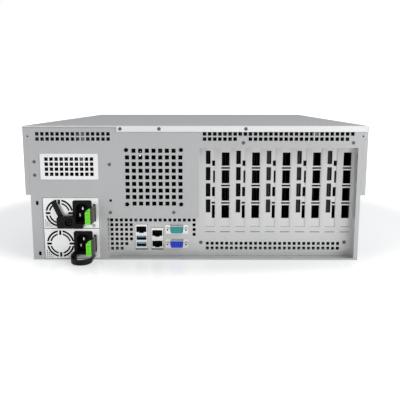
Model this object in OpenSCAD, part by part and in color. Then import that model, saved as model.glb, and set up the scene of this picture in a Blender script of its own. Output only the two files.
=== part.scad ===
// 4U GPU server: a rack chassis with two hot-swap power supplies, five dual-width
// accelerator cards, a recessed port panel, a mid fan wall and four front disk trays.
// Origin: middle of the floor's underside. +X is right seen from the rear, +Y is the
// rack front, +Z is up. The rear panel faces -Y.

/* [Chassis] */
// Width of the body below the side step
body_w = 435; // [430:1:438]
// Width of the body above the side step
wing_w = 448; // [444:1:450]
// Height of the body, four rack units
body_h = 178; // [176:1:178]
// Depth of the body between its rear and front panels
body_d = 650; // [650:5:700]
// Height of the side step above the floor's underside
step_z = 88.9; // [80:1:92]
// Thickness of the folded sheet
sheet_t = 1.2; // [1:0.1:1.3]
// Depth of the port and slot recess behind the rear panel
recess_d = 20; // [16:1:24]
// Width of the folded flange that the top cover lies on
flange_w = 11; // [9:1:14]
// Height of the cover's lip over the rear panel
lip_h = 7.6; // [7:0.2:7.6]
// Left end of the cover's lip
lip_x = -101.6; // [-108:1:-100]

/* [Vents] */
// Pitch of the small square vent holes
vent_pitch = 6.6; // [6.4:0.1:6.7]
// Side of one small vent hole
vent_hole = 4.7; // [3.8:0.1:4.9]
// Side of one hole in the port panel's vent
port_vent_hole = 4.2; // [3.6:0.1:4.4]
// Pitch of the square holes over the rear fan
grille_pitch = 8.7; // [8.3:0.1:8.8]
// Side of one square hole over the rear fan
grille_hole = 5.6; // [4.8:0.1:6]
// Holes along one side of the rear fan's grille
grille_n = 9; // [7:1:9]

/* [Card slots] */
// Pitch of the card slots
slot_pitch = 20.32; // [20.2:0.02:20.34]
// Number of dual-width cards
gpu_n = 5; // [5:1:5]
// Centre of the first slot
slot_x = 20.2; // [20:0.1:20.8]
// Width of one slot aperture
slot_w = 13.2; // [12.6:0.1:14]
// Lower edge of the slot apertures
slot_z = 41.6; // [40:0.5:42]
// Length of one card
gpu_l = 267; // [240:1:280]
// Width of the vent openings in the wide slot of a bracket
bracket_vent_w = 10.4; // [9:0.1:11]

/* [Power supplies] */
// Width of one supply
psu_w = 73.5; // [73:0.1:73.6]
// Height of one supply
psu_h = 40; // [39:0.1:40]
// Length of one supply
psu_l = 185; // [170:1:190]
// Left side of the supplies
psu_x = -201.2; // [-202:0.2:-201]
// Radius of the outermost slot in the fan guard
guard_r = 18.4; // [17:0.1:18.8]
// Radius of the closed disc in the fan guard
guard_disc_r = 11; // [9:0.5:11.5]

/* [Fans] */
// Side of the rear fan
rear_fan_w = 80; // [80:1:80]
// Depth of the rear fan
rear_fan_t = 25; // [20:1:30]
// Centre of the rear fan along X
rear_fan_x = -54.1; // [-56:0.5:-53]
// Height of the rear fan's centre
rear_fan_z = 111.2; // [108:0.5:113]
// Side of one mid fan
mid_fan_w = 120; // [110:1:120]
// Depth of one mid fan
mid_fan_t = 38; // [25:1:38]
// Front-to-rear place of the fan wall
fan_wall_y = 60; // [45:1:70]

/* [Disk trays] */
// Number of trays side by side
tray_n = 4; // [4:1:4]
// Width of one tray
tray_w = 105.2; // [104:0.2:105.4]
// Height of one tray
tray_h = 30; // [28:0.5:32]
// Length of one tray
tray_l = 165; // [155:1:170]

/* [Rack ears] */
// How far each ear stands out from the body
ear_w = 23.8; // [22.5:0.1:25]
// Distance of the ear slots from the ear's outer edge
ear_hole_inset = 8.75; // [8.5:0.05:9.5]
// Distance between the lower and upper ear slots
ear_hole_rise = 101.6; // [101.6:0.1:101.6]
// Radius of an ear slot's end
ear_hole_r = 3.4; // [3.2:0.1:3.5]
// Length of an ear slot
ear_slot_l = 10; // [8:0.5:11]

/* [Hidden] */

$fn = 48;
eps = 0.01;
gap = 0.2;

rear_y = -body_d / 2;
front_y = body_d / 2;
inner_rear_y = rear_y + sheet_t;
cover_z = body_h - sheet_t;
panel_top_z = cover_z - 0.4;
panel_bottom_z = 0.2;
bulkhead_y = rear_y + recess_d;

steel = "#c9ccce";
bright_steel = "#dfe1e2";
plastic = "#1b1c1e";
board_green = "#1f5a3a";

// ---- shared 2D and 3D helpers -------------------------------------------------

// Stands a flat XZ outline up as a sheet that runs from y to y + t.
module upright(y, t) {
    translate([0, y + t, 0]) rotate([90, 0, 0]) linear_extrude(t) children();
}

// A rectangle given by its limits.
module window(x0, z0, x1, z1) {
    translate([x0, z0]) square([x1 - x0, z1 - z0]);
}

// A box given by its limits.
module block(x0, y0, z0, x1, y1, z1) {
    translate([x0, y0, z0]) cube([x1 - x0, y1 - y0, z1 - z0]);
}

// A grid of square holes; the first hole is at (x, z), columns to the right, rows down.
module hole_grid(x, z, cols, rows, pitch, side) {
    for (c = [0:cols - 1], r = [0:rows - 1])
        translate([x + c * pitch, z - r * pitch]) square(side, center = true);
}

// Round holes at a list of points.
module holes_at(points, r) {
    for (p = points) translate(p) circle(r);
}

// A slot with round ends, its long side along Z.
module slot_2d(length, r) {
    square([2 * r, length - 2 * r], center = true);
    for (s = [-1, 1]) translate([0, s * (length / 2 - r)]) circle(r);
}

// A round bar along Y from y0 to y1.
module bar_y(x, z, y0, y1, r) {
    translate([x, y1, z]) rotate([90, 0, 0]) cylinder(h = y1 - y0, r = r);
}

// ---- chassis -------------------------------------------------------------------

shell_end = sheet_t + gap;
wing_relief_z = cover_z - 12.1;
relief_r = 1.1;

// Half of the folded section: floor, lower wall, step, upper wall and top flange.
module shell_half_section() {
    window(0, 0, body_w / 2, sheet_t);
    window(body_w / 2 - sheet_t, 0, body_w / 2, step_z);
    window(body_w / 2 - sheet_t, step_z - sheet_t, wing_w / 2, step_z);
    window(wing_w / 2 - sheet_t, step_z - sheet_t, wing_w / 2, cover_z);
    window(wing_w / 2 - flange_w, cover_z - sheet_t, wing_w / 2, cover_z);
}

// The wing's end flange, folded inwards, with the relief hole at the fold's corner.
module wing_flange() {
    difference() {
        window(body_w / 2 + gap, step_z - sheet_t, wing_w / 2, cover_z);
        translate([body_w / 2 + gap, wing_relief_z]) circle(relief_r);
    }
}

module chassis_shell() {
    color(steel) {
        for (side = [0, 1]) mirror([side, 0, 0]) {
            upright(rear_y + shell_end, body_d - 2 * shell_end) shell_half_section();
            upright(rear_y, shell_end) wing_flange();
            upright(front_y - shell_end, shell_end) wing_flange();
        }
    }
}

vent_top_z = cover_z - 9.1;
left_vent_x = -205.3;
left_vent_cols = 15;
right_vent_x = 12.3;
right_vent_cols = 30;
second_row_gap = [7, 8, 29];

bay_x0 = psu_x - 1.4;
bay_x1 = psu_x + psu_w + 1.4;
bay_bottom_z = 1.6;
bay_rim = 0.5;

port_x0 = -117.2;
port_top_z = 57;
card_window_x0 = 5.5;
card_window_x1 = 212;
card_window_top_z = cover_z - 27;
recess_bottom_z = 2.2;

plate_x0 = -202.8;
plate_x1 = -127;
plate_z0 = 108.4;
plate_z1 = 142.1;
plate_t = 1;
plate_cols = 10;
plate_rows = 4;

screw_r = 1.5;
panel_screws = [
    [-210.5, 131.5], [-210.5, 114], [-112, 128.1], [-112.5, 64.4],
    [-28.2, 64.6], [62.8, card_window_top_z + 6.5], [205.2, card_window_top_z + 6.5]
];
open_hole = [-111.8, 80.4];
keyholes = [[-209.2, 77], [-208.6, 8.5]];
lip_screw_x = [-96.9, -46.5, 65.7];
lip_screw_z = body_h - lip_h / 2;

function fan_corners(x, z, w) =
    let (s = w == 80 ? 71.5 / 2 : w * 0.4375)
    [for (a = [-1, 1], b = [-1, 1]) [x + a * s, z + b * s]];

fan_bolts = fan_corners(rear_fan_x, rear_fan_z, rear_fan_w);
grille_span = (grille_n - 1) * grille_pitch;

// Square grille with its four corner holes left closed for the fan's bolts.
module fan_grille() {
    difference() {
        hole_grid(rear_fan_x - grille_span / 2, rear_fan_z + grille_span / 2,
                  grille_n, grille_n, grille_pitch, grille_hole);
        for (a = [-1, 1], b = [-1, 1])
            translate([rear_fan_x + a * grille_span / 2, rear_fan_z + b * grille_span / 2])
                square(grille_hole + 1, center = true);
    }
}

// The second vent row skips the places where screws sit.
module right_vent() {
    hole_grid(right_vent_x, vent_top_z, right_vent_cols, 1, vent_pitch, vent_hole);
    for (c = [0:right_vent_cols - 1])
        if (len(search(c, second_row_gap)) == 0)
            translate([right_vent_x + c * vent_pitch, vent_top_z - vent_pitch])
                square(vent_hole, center = true);
}

// The L-shaped opening that shows the port panel and the card slots.
module recess_outline() {
    window(card_window_x0, recess_bottom_z, card_window_x1, card_window_top_z);
    window(port_x0, recess_bottom_z, card_window_x0 + eps, port_top_z);
}

module rear_panel() {
    color(steel) upright(rear_y, sheet_t) difference() {
        window(-body_w / 2, panel_bottom_z, body_w / 2, panel_top_z);
        window(bay_x0, bay_bottom_z, bay_x1, psu_bottom_z[0] + psu_h + bay_rim);
        recess_outline();
        hole_grid(left_vent_x, vent_top_z, left_vent_cols, 2, vent_pitch, vent_hole);
        right_vent();
        fan_grille();
        window(plate_x0 + 4, plate_z0 + 3, plate_x1 - 4, plate_z1 - 3);
        holes_at(fan_bolts, screw_r + 0.3);
        holes_at(panel_screws, screw_r);
        holes_at([open_hole], 1.9);
        for (p = keyholes) translate(p) slot_2d(6, 1.9);
        for (x = lip_screw_x) translate([x, lip_screw_z]) circle(screw_r);
        for (s = [-1, 1]) translate([s * body_w / 2, wing_relief_z]) circle(relief_r);
    }
}

module vent_plate() {
    mid_x = (plate_x0 + plate_x1) / 2;
    mid_z = (plate_z0 + plate_z1) / 2;
    color(bright_steel) upright(rear_y - plate_t, plate_t) difference() {
        window(plate_x0, plate_z0, plate_x1, plate_z1);
        hole_grid(mid_x - (plate_cols - 1) * vent_pitch / 2,
                  mid_z + (plate_rows - 1) * vent_pitch / 2,
                  plate_cols, plate_rows, vent_pitch, vent_hole);
    }
}

module top_cover() {
    color("#a2a4a6") {
        block(-wing_w / 2, rear_y - sheet_t, cover_z, wing_w / 2, front_y, body_h);
        upright(rear_y - sheet_t, sheet_t) difference() {
            window(lip_x, body_h - lip_h, wing_w / 2 - 1.5, cover_z + eps);
            for (x = lip_screw_x) translate([x, lip_screw_z]) circle(screw_r);
        }
    }
}

// A screw whose head lies against the plane at y and whose shank runs towards +Y.
module panel_screw(x, z, y, head_r, head_t, shank) {
    bar_y(x, z, y - head_t, y, head_r);
    bar_y(x, z, y - eps, y + shank, screw_r - 0.25);
}

module cover_screws() {
    color(bright_steel) for (x = lip_screw_x)
        panel_screw(x, lip_screw_z, rear_y - sheet_t, 2.3, 0.5, 2 * sheet_t + 1);
}

bulkhead_screws = [[7.4, 19.6], [203.2, 20.2]];

module chassis_screws() {
    color(bright_steel) {
        for (p = panel_screws) panel_screw(p[0], p[1], rear_y, 2.2, 0.6, sheet_t + 1);
        for (p = fan_bolts) panel_screw(p[0], p[1], rear_y, 2.7, 1, 12);
        for (p = bulkhead_screws) panel_screw(p[0], p[1], bulkhead_y, 2.4, 0.8, sheet_t + 1);
    }
}

// ---- recessed port panel and card slots -------------------------------------------

port_vent_x = -114;
port_vent_z = 50.6;
port_vent_row_cols = 18;
port_vent_drop = [0, 0, 0, 0, 0, 1, 2];
low_vent_x = 16.3;
low_vent_z = 18.3;
low_vent_cols = 28;
slot_top_z = card_window_top_z - 2.4;
tongue_slit_z = 34;
slot_total = 2 * gpu_n;

lan_usb_x = -73.8;
lan_usb_w = 16;
lan_usb_top_z = 44.6;
lan_stack_x = -52.1;
lan_stack_w = 16;
lan_stack_top_z = 39.8;
serial_pos = [-25.4, 37.9];
vga_pos = [-25.4, 17.8];
d_port_w = 20.4;
d_port_h = 11;
board_top_z = 11.2;
jack_gap = 0.3;

function slot_centre(i) = slot_x + i * slot_pitch;

// A D-shaped outline, wider at the top.
module d_outline(w, h) {
    c = 1.6;
    lean = 1.3;
    polygon([
        [-w / 2 + c, h / 2], [w / 2 - c, h / 2], [w / 2, h / 2 - c],
        [w / 2 - lean, -h / 2 + c], [w / 2 - lean - c, -h / 2],
        [-w / 2 + lean + c, -h / 2], [-w / 2 + lean, -h / 2 + c], [-w / 2, h / 2 - c]
    ]);
}

// Vent holes beside the ports: one long row, a block at the left, a column at the right.
module port_vents() {
    hole_grid(port_vent_x, port_vent_z, port_vent_row_cols, 1, vent_pitch, port_vent_hole);
    for (r = [1:len(port_vent_drop) - 1])
        hole_grid(port_vent_x, port_vent_z - r * vent_pitch, 5 - port_vent_drop[r], 1,
                  vent_pitch, port_vent_hole);
    hole_grid(port_vent_x + (port_vent_row_cols - 1) * vent_pitch,
              port_vent_z - vent_pitch, 1, 3, vent_pitch, port_vent_hole);
}

module jack_cutouts() {
    for (j = [[lan_usb_x, lan_usb_w, lan_usb_top_z], [lan_stack_x, lan_stack_w, lan_stack_top_z]])
        window(j[0] - j[1] / 2 - jack_gap, board_top_z - 2,
               j[0] + j[1] / 2 + jack_gap, j[2] + jack_gap);
    for (p = [serial_pos, vga_pos]) {
        translate(p) d_outline(d_port_w + 0.8, d_port_h + 0.8);
        for (s = [-1, 1]) translate([p[0] + s * d_bolt_x, p[1]]) circle(1.8);
    }
}

module slot_bulkhead() {
    wall_y0 = rear_y + shell_end;
    wall_t = sheet_t;
    color(bright_steel) {
        upright(bulkhead_y, sheet_t) difference() {
            union() {
                window(card_window_x0 - wall_t, sheet_t + gap,
                       card_window_x1 + wall_t, card_window_top_z + wall_t);
                window(port_x0 - wall_t, sheet_t + gap, card_window_x0, port_top_z + wall_t);
            }
            for (i = [0:slot_total - 1]) {
                window(slot_centre(i) - slot_w / 2, slot_z, slot_centre(i) + slot_w / 2, slot_top_z);
                window(slot_centre(i) - slot_w / 2, tongue_slit_z,
                       slot_centre(i) + slot_w / 2, tongue_slit_z + 0.9);
            }
            hole_grid(low_vent_x, low_vent_z, low_vent_cols, 2, vent_pitch, port_vent_hole);
            port_vents();
            jack_cutouts();
            holes_at(bulkhead_screws, screw_r);
        }
        upright(wall_y0, bulkhead_y - wall_y0 + eps) difference() {
            union() {
                window(card_window_x0 - wall_t, sheet_t + gap,
                       card_window_x1 + wall_t, card_window_top_z + wall_t);
                window(port_x0 - wall_t, sheet_t + gap, card_window_x0, port_top_z + wall_t);
            }
            window(card_window_x0, 0, card_window_x1, card_window_top_z);
            window(port_x0, 0, card_window_x0 + eps, port_top_z);
        }
    }
}

// ---- ports on the motherboard's rear edge --------------------------------------------

jack_proud = 1;
jack_depth = 22;
rj_w = 13.8;
rj_h = 10;
usb_w = 13.2;
usb_h = 5.8;
tongue_t = 1.9;

// A network socket's mouth with the notch for its plug's clip below.
module rj_mouth() {
    square([rj_w, rj_h - 2], center = true);
    translate([0, -rj_h / 2 + 1.2]) square([6.4, 3], center = true);
}

module jack_body(x, w, top_z) {
    y0 = bulkhead_y - jack_proud;
    block(x - w / 2, y0, board_top_z, x + w / 2, y0 + jack_depth, top_z);
}

module lan_usb_jack() {
    rj_z = 38;
    usb_zs = [17, 26];
    y0 = bulkhead_y - jack_proud;
    color("silver") {
        difference() {
            jack_body(lan_usb_x, lan_usb_w, lan_usb_top_z);
            upright(y0 - 1, 15) translate([lan_usb_x, rj_z]) rj_mouth();
            for (z = usb_zs)
                block(lan_usb_x - usb_w / 2, y0 - 1, z - usb_h / 2,
                      lan_usb_x + usb_w / 2, y0 + 14, z + usb_h / 2);
        }
        for (z = usb_zs)
            block(lan_usb_x - usb_w / 2 + 1, y0 + 0.6, z + 0.4,
                  lan_usb_x + usb_w / 2 - 1, y0 + 14 + eps, z + 0.4 + tongue_t);
    }
}

module lan_jack_stack() {
    y0 = bulkhead_y - jack_proud;
    color("silver") difference() {
        jack_body(lan_stack_x, lan_stack_w, lan_stack_top_z);
        for (z = [18, 32.8])
            upright(y0 - 1, 15) translate([lan_stack_x, z]) rj_mouth();
    }
}

d_flange_w = 30.8;
d_flange_h = 12.5;
d_flange_t = 0.8;
d_shell_l = 5.8;
d_bolt_x = 12.5;

// A nine- or fifteen-way D connector: flange, shell, insert and two jack screws.
module d_port(pos, inner) {
    face_y = bulkhead_y - gap;
    translate([pos[0], 0, pos[1]]) {
        color("silver") {
            upright(face_y - d_flange_t, d_flange_t) difference() {
                window(-d_flange_w / 2, -d_flange_h / 2, d_flange_w / 2, d_flange_h / 2);
                d_outline(d_port_w - 1.2, d_port_h - 1.2);
                for (s = [-1, 1]) translate([s * d_bolt_x, 0]) circle(1.4);
            }
            upright(face_y - d_shell_l, d_shell_l - d_flange_t) difference() {
                d_outline(d_port_w - 0.6, d_port_h - 0.6);
                d_outline(d_port_w - 1.6, d_port_h - 1.6);
            }
            for (s = [-1, 1]) difference() {
                union() {
                    translate([s * d_bolt_x, face_y - d_flange_t, 0]) rotate([90, 0, 0])
                        cylinder(h = 5, r = 2.7, $fn = 6);
                    bar_y(s * d_bolt_x, 0, face_y - d_flange_t - eps, face_y + 4, 1.3);
                }
                bar_y(s * d_bolt_x, 0, face_y - d_flange_t - 6, face_y - 1.5, 1.2);
            }
        }
        color(inner) upright(face_y - d_shell_l + 0.4, d_shell_l + 8)
            d_outline(d_port_w - 2, d_port_h - 2);
    }
}

d_body_w = 31;
d_body_top_z = [44.6, 26.4];

// The block behind the bulkhead that carries a D connector on the board below it.
module d_body(pos, bottom_z, top_z) {
    y0 = bulkhead_y + sheet_t + jack_gap;
    color(plastic) difference() {
        block(pos[0] - d_body_w / 2, y0, bottom_z, pos[0] + d_body_w / 2, y0 + 14, top_z);
        for (s = [-1, 1]) bar_y(pos[0] + s * d_bolt_x, pos[1], y0 - 1, y0 + 6, 1.3);
        upright(y0 - 1, 9 + 1) translate(pos) d_outline(d_port_w - 2, d_port_h - 2);
    }
}

module serial_port() {
    d_port(serial_pos, "#1fa8a8");
    d_body(serial_pos, d_body_top_z[1], d_body_top_z[0]);
}

module vga_port() {
    d_port(vga_pos, "#2a55e0");
    d_body(vga_pos, board_top_z, d_body_top_z[1]);
}

// ---- power supplies --------------------------------------------------------------------

cage_t = 1;
psu_bottom_z = [sheet_t + 3 * gap + 2 * cage_t + psu_h, sheet_t + gap + cage_t];
psu_face_y = rear_y - 1;
psu_wall = 0.8;
psu_fan_x = psu_x + 21;
psu_fan_up = 19.8;
psu_inlet_x = psu_x + 51.7;
psu_inlet_up = 21;
inlet_w = 25;
inlet_h = 32;
inlet_flange_t = 2.6;
inlet_body_l = 20;
cavity_w = 16.4;
cavity_h = 24.4;
cavity_d = 15;
latch_x = psu_x + psu_w - 6;
latch_t = 1;
latch_up = 9.2;
latch_h = 22;
latch_reach = 28;
latch_pin_r = 1;
latch_barrel_r = 1.9;
latch_cap_w = 9;
latch_pivot_y = psu_face_y + 4;
psu_fan_r = 18.4;
psu_fan_t = 18;

// One quarter of a round slot in the guard, between two radii, clear of the cross ribs.
module guard_arc(r_out, r_in, rib) {
    difference() {
        circle(r_out);
        circle(r_in);
        square([2 * rib, 4 * guard_r], center = true);
        square([4 * guard_r, 2 * rib], center = true);
    }
}

module fan_guard_slots() {
    rib = 3.2;
    guard_arc(guard_r, guard_r - 2.5, rib);
    guard_arc(guard_r - 4.2, guard_disc_r + 1, rib);
    for (a = [0:90:270]) rotate(a)
        translate([0, (guard_r + guard_disc_r) / 2 + 0.3])
            square([3, guard_r - guard_disc_r - 1], center = true);
}

corner_hole = 1.5;
corner_pitch = 2.6;
corner_rows = 4;
corner_dx = 18.6;
corner_dz = 17.4;

// Triangles of small square holes in the two lower corners beside the guard.
module corner_holes() {
    for (side = [0, 1]) mirror([side, 0])
        for (c = [0:corner_rows - 1], r = [0:corner_rows - 1 - c])
            translate([-corner_dx + c * corner_pitch, -corner_dz + r * corner_pitch])
                square(corner_hole, center = true);
}

led_dx = 6.9;
led_up = 3.4;
led_r = 2.4;
led_bore_r = 1.3;

module psu_case(i) {
    z0 = psu_bottom_z[i];
    color(bright_steel) {
        difference() {
            block(psu_x, psu_face_y, z0, psu_x + psu_w, psu_face_y + psu_l, z0 + psu_h);
            block(psu_x + psu_wall, psu_face_y + psu_wall, z0 + psu_wall,
                  psu_x + psu_w - psu_wall, psu_face_y + psu_l - psu_wall, z0 + psu_h - psu_wall);
            upright(psu_face_y - 1, 3) {
                translate([psu_fan_x, z0 + psu_fan_up]) fan_guard_slots();
                translate([psu_fan_x, z0 + psu_fan_up]) corner_holes();
                translate([psu_inlet_x, z0 + psu_inlet_up])
                    square([inlet_w - 2, inlet_h - 3], center = true);
                window(latch_x - 2, z0 + latch_up - 1,
                       latch_x + latch_t + 1, z0 + latch_up + latch_h + 1);
                translate([psu_x + psu_w - led_dx, z0 + led_up]) circle(led_r - 0.4);
            }
        }
        difference() {
            bar_y(psu_x + psu_w - led_dx, z0 + led_up, psu_face_y - 0.6, psu_face_y + 2, led_r);
            bar_y(psu_x + psu_w - led_dx, z0 + led_up, psu_face_y - 1, psu_face_y + 1, led_bore_r);
        }
        translate([psu_fan_x, psu_face_y + psu_wall - eps, z0 + psu_fan_up])
            bearing_tube(psu_fan_t - fan_cap_t - 2);
        translate([latch_x + latch_t / 2, latch_pivot_y, z0 + psu_wall / 2])
            cylinder(h = psu_h - psu_wall, r = latch_pin_r);
    }
}

module psu_fan(i) {
    translate([psu_fan_x, psu_face_y + psu_wall + 1 + psu_fan_t, psu_bottom_z[i] + psu_fan_up])
        rotate([0, 0, 180]) fan_rotor(psu_fan_r, psu_fan_t);
}

// Upright inlet socket with two bevelled corners at the top and three blades.
module psu_inlet(i) {
    z0 = psu_bottom_z[i] + psu_inlet_up;
    bevel = 4.2;
    blade_set = 6;
    blade_w = 2;
    blade_h = 4;
    y0 = psu_face_y - inlet_flange_t;
    color(plastic) translate([psu_inlet_x, 0, z0]) {
        difference() {
            union() {
                upright(y0, inlet_flange_t)
                    square([inlet_w, inlet_h], center = true);
                upright(y0 + 1, inlet_body_l) square([inlet_w - 2.6, inlet_h - 3.6], center = true);
            }
            upright(y0 - 1, cavity_d + 1) polygon([
                [-cavity_w / 2, -cavity_h / 2], [cavity_w / 2, -cavity_h / 2],
                [cavity_w / 2, cavity_h / 2 - bevel], [cavity_w / 2 - bevel, cavity_h / 2],
                [-cavity_w / 2 + bevel, cavity_h / 2], [-cavity_w / 2, cavity_h / 2 - bevel]
            ]);
        }
        upright(y0 + blade_set, cavity_d - blade_set + 1) for (p = [[0, 4.6], [-4.2, -4.4], [4.2, -4.4]])
            translate(p) square([blade_w, blade_h], center = true);
    }
}

// Sprung lever on an upright pin, with a pressing cap whose upper left corner is bevelled.
module psu_latch(i) {
    z0 = psu_bottom_z[i] + latch_up;
    tip_y = psu_face_y - latch_reach;
    cap_t = 4;
    bevel = 4.4;
    rib_t = 1.2;
    color("#7be33a") difference() {
        union() {
            block(latch_x, tip_y, z0, latch_x + latch_t, latch_pivot_y, z0 + latch_h);
            translate([latch_x + latch_t / 2, latch_pivot_y, z0])
                cylinder(h = latch_h, r = latch_barrel_r);
            upright(tip_y, cap_t) polygon([
                [latch_x - latch_cap_w, z0], [latch_x + eps, z0], [latch_x + eps, z0 + latch_h],
                [latch_x - latch_cap_w + bevel, z0 + latch_h],
                [latch_x - latch_cap_w, z0 + latch_h - bevel]
            ]);
            for (k = [0:2])
                block(latch_x - latch_cap_w + 1, tip_y + cap_t - eps, z0 + 3 + k * 7,
                      latch_x + eps, tip_y + 2 * cap_t, z0 + 3 + k * 7 + rib_t);
        }
        translate([latch_x + latch_t / 2, latch_pivot_y, z0 - 1])
            cylinder(h = latch_h + 2, r = latch_pin_r + 0.1);
    }
}

strap_t = 1.6;
strap_w = 6;
buckle_w = 21;
buckle_h = 15;
buckle_t = 7;
buckle_bore_r = 5.2;
strap_root_x = psu_x + 37;

// The upper supply's cord strap: buckle beside the inlet, its tail laid over the guard.
module psu_1_strap() {
    buckle_x = strap_root_x - 3.6;
    buckle_z = psu_bottom_z[0] + 10.5;
    back_y = psu_face_y - inlet_flange_t - gap;
    tail_l = 24.5;
    tail_lean = 24;
    notch_pitch = 2.6;
    color(plastic) {
        difference() {
            upright(back_y - buckle_t, buckle_t) translate([buckle_x, buckle_z])
                square([buckle_w, buckle_h], center = true);
            upright(back_y - buckle_t - 1, buckle_t) translate([buckle_x + 3.4, buckle_z])
                circle(buckle_bore_r);
        }
        block(buckle_x - 8, back_y - eps, buckle_z - 3, buckle_x - 2, psu_face_y, buckle_z + 3);
        translate([buckle_x - 6.6, back_y, buckle_z + 5]) rotate([0, -tail_lean, 0]) difference() {
            block(-strap_w / 2, -strap_t - 1, 0, strap_w / 2, -1, tail_l);
            for (k = [0:6])
                block(-strap_w / 4, -strap_t - 2, 5 + k * notch_pitch,
                      strap_w / 4, -strap_t - 0.5, 6.2 + k * notch_pitch);
        }
    }
}

loop_r = 14.4;
loop_out = 21;
loop_tilt = 9;
loop_w = 5.5;
loop_up = 7;

// The lower supply's cord strap: looped through its buckle, standing out and down.
module psu_2_strap() {
    color(plastic)
        translate([strap_root_x + loop_r, psu_face_y, psu_bottom_z[1] + loop_up]) difference() {
            rotate([loop_tilt, 0, 0]) {
                for (s = [-1, 1])
                    block(s * loop_r - strap_t / 2, -loop_out, -loop_w / 2,
                          s * loop_r + strap_t / 2, loop_w, loop_w / 2);
                translate([0, -loop_out, -loop_w / 2]) intersection() {
                    difference() {
                        cylinder(h = loop_w, r = loop_r + strap_t / 2);
                        translate([0, 0, -1]) cylinder(h = loop_w + 2, r = loop_r - strap_t / 2);
                    }
                    block(-2 * loop_r, -2 * loop_r, -1, 2 * loop_r, eps, loop_w + 1);
                }
                translate([-loop_r - strap_t, -loop_out + 2, -loop_w / 2 - 1])
                    cube([7, 9, loop_w + 2]);
            }
            block(-2 * loop_r, 0, -2 * loop_w, 2 * loop_r, 3 * loop_w, 2 * loop_w);
        }
}

cage_l = psu_l + 6;

// Two bays, one above the other, open at the rear and closed by the power board.
module psu_cage() {
    y0 = rear_y + shell_end;
    x0 = psu_x - gap - cage_t;
    x1 = psu_x + psu_w + gap;
    top = psu_bottom_z[0] + psu_h + gap;
    color(steel) {
        block(x0, y0, sheet_t, x0 + cage_t, y0 + cage_l, top + cage_t);
        block(x1, y0, sheet_t, x1 + cage_t, y0 + cage_l, top + cage_t);
        block(x0, y0, sheet_t, x1 + cage_t, y0 + cage_l, sheet_t + cage_t);
        block(x0, y0, psu_bottom_z[0] - gap - cage_t, x1 + cage_t, y0 + cage_l, psu_bottom_z[0] - gap);
        block(x0, y0, top, x1 + cage_t, y0 + cage_l, top + cage_t);
    }
}

module power_board() {
    y0 = rear_y + shell_end + cage_l + gap;
    x0 = psu_x - gap - cage_t;
    color(board_green) {
        block(x0, y0, sheet_t + 2, psu_x + psu_w + 6, y0 + 2, psu_bottom_z[0] + psu_h + 8);
        for (i = [0, 1])
            block(psu_x + 14, y0 - 4.6, psu_bottom_z[i] + 12,
                  psu_x + 62, y0 + eps, psu_bottom_z[i] + 22);
        for (k = [0:2]) block(psu_x + 12 + k * 22, y0 + 2 - eps, 40,
                              psu_x + 28 + k * 22, y0 + 14, 52);
    }
}

// ---- fans ------------------------------------------------------------------------------

fan_blade_n = 7;
fan_shaft_r = 1.5;
fan_bolt_hole_r = 2.15;
fan_bearing_gap = 0.3;
fan_tube_t = 1.4;
fan_cap_t = 2;
fan_cup_t = 1.5;
fan_tip_gap = 2.6;
blade_root_angle = 60;
blade_edge_angle = 25;

// Cambered blades round a hub, their axis along Z, between z = 0.5 and z = t - 0.5: each
// is cut from the wall of a round tube that lies along its own radius.
module fan_blades(r, t, hub_r) {
    blade_t = 0.045 * r;
    rise = sin(90 + blade_edge_angle) - sin(90 + blade_root_angle);
    tube_r = (t - 1) / rise;
    reach = tube_r * (cos(90 + blade_edge_angle) - cos(90 + blade_root_angle));
    low_z = 0.5;
    intersection() {
        cylinder(h = t, r = r);
        for (k = [0:fan_blade_n - 1]) rotate(k * 360 / fan_blade_n) intersection() {
            translate([hub_r - 1, reach / 2 - tube_r * cos(90 + blade_edge_angle),
                       low_z - tube_r * sin(90 + blade_root_angle)])
                rotate([0, 90, 0]) difference() {
                    cylinder(h = r, r = tube_r + blade_t / 2);
                    translate([0, 0, -1]) cylinder(h = r + 2, r = tube_r - blade_t / 2);
                }
            translate([hub_r - 1, -reach / 2, low_z]) cube([r, reach, t - 1]);
        }
    }
}

// Axial rotor, its axis along Y, from y = 0 to y = t: a cup that is closed at y = 0, the
// shaft inside it and the blades.
module fan_rotor(r, t) {
    hub_r = 0.5 * r;
    color("#2a2b2d") rotate([-90, 0, 0]) {
        difference() {
            cylinder(h = t, r = hub_r);
            translate([0, 0, fan_cap_t]) cylinder(h = t, r = hub_r - fan_cup_t);
        }
        translate([0, 0, fan_cap_t - eps]) cylinder(h = t - fan_cap_t - 1, r = fan_shaft_r);
        fan_blades(r, t, hub_r);
    }
}

// The tube that a rotor's shaft turns in, its axis along Y, from y = 0 to y = l.
module bearing_tube(l) {
    upright(0, l) difference() {
        circle(fan_shaft_r + fan_bearing_gap + fan_tube_t);
        circle(fan_shaft_r + fan_bearing_gap);
    }
}

function motor_plate_t(t) = 0.12 * t;
function rotor_t(t) = t - motor_plate_t(t) - 2;

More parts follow.
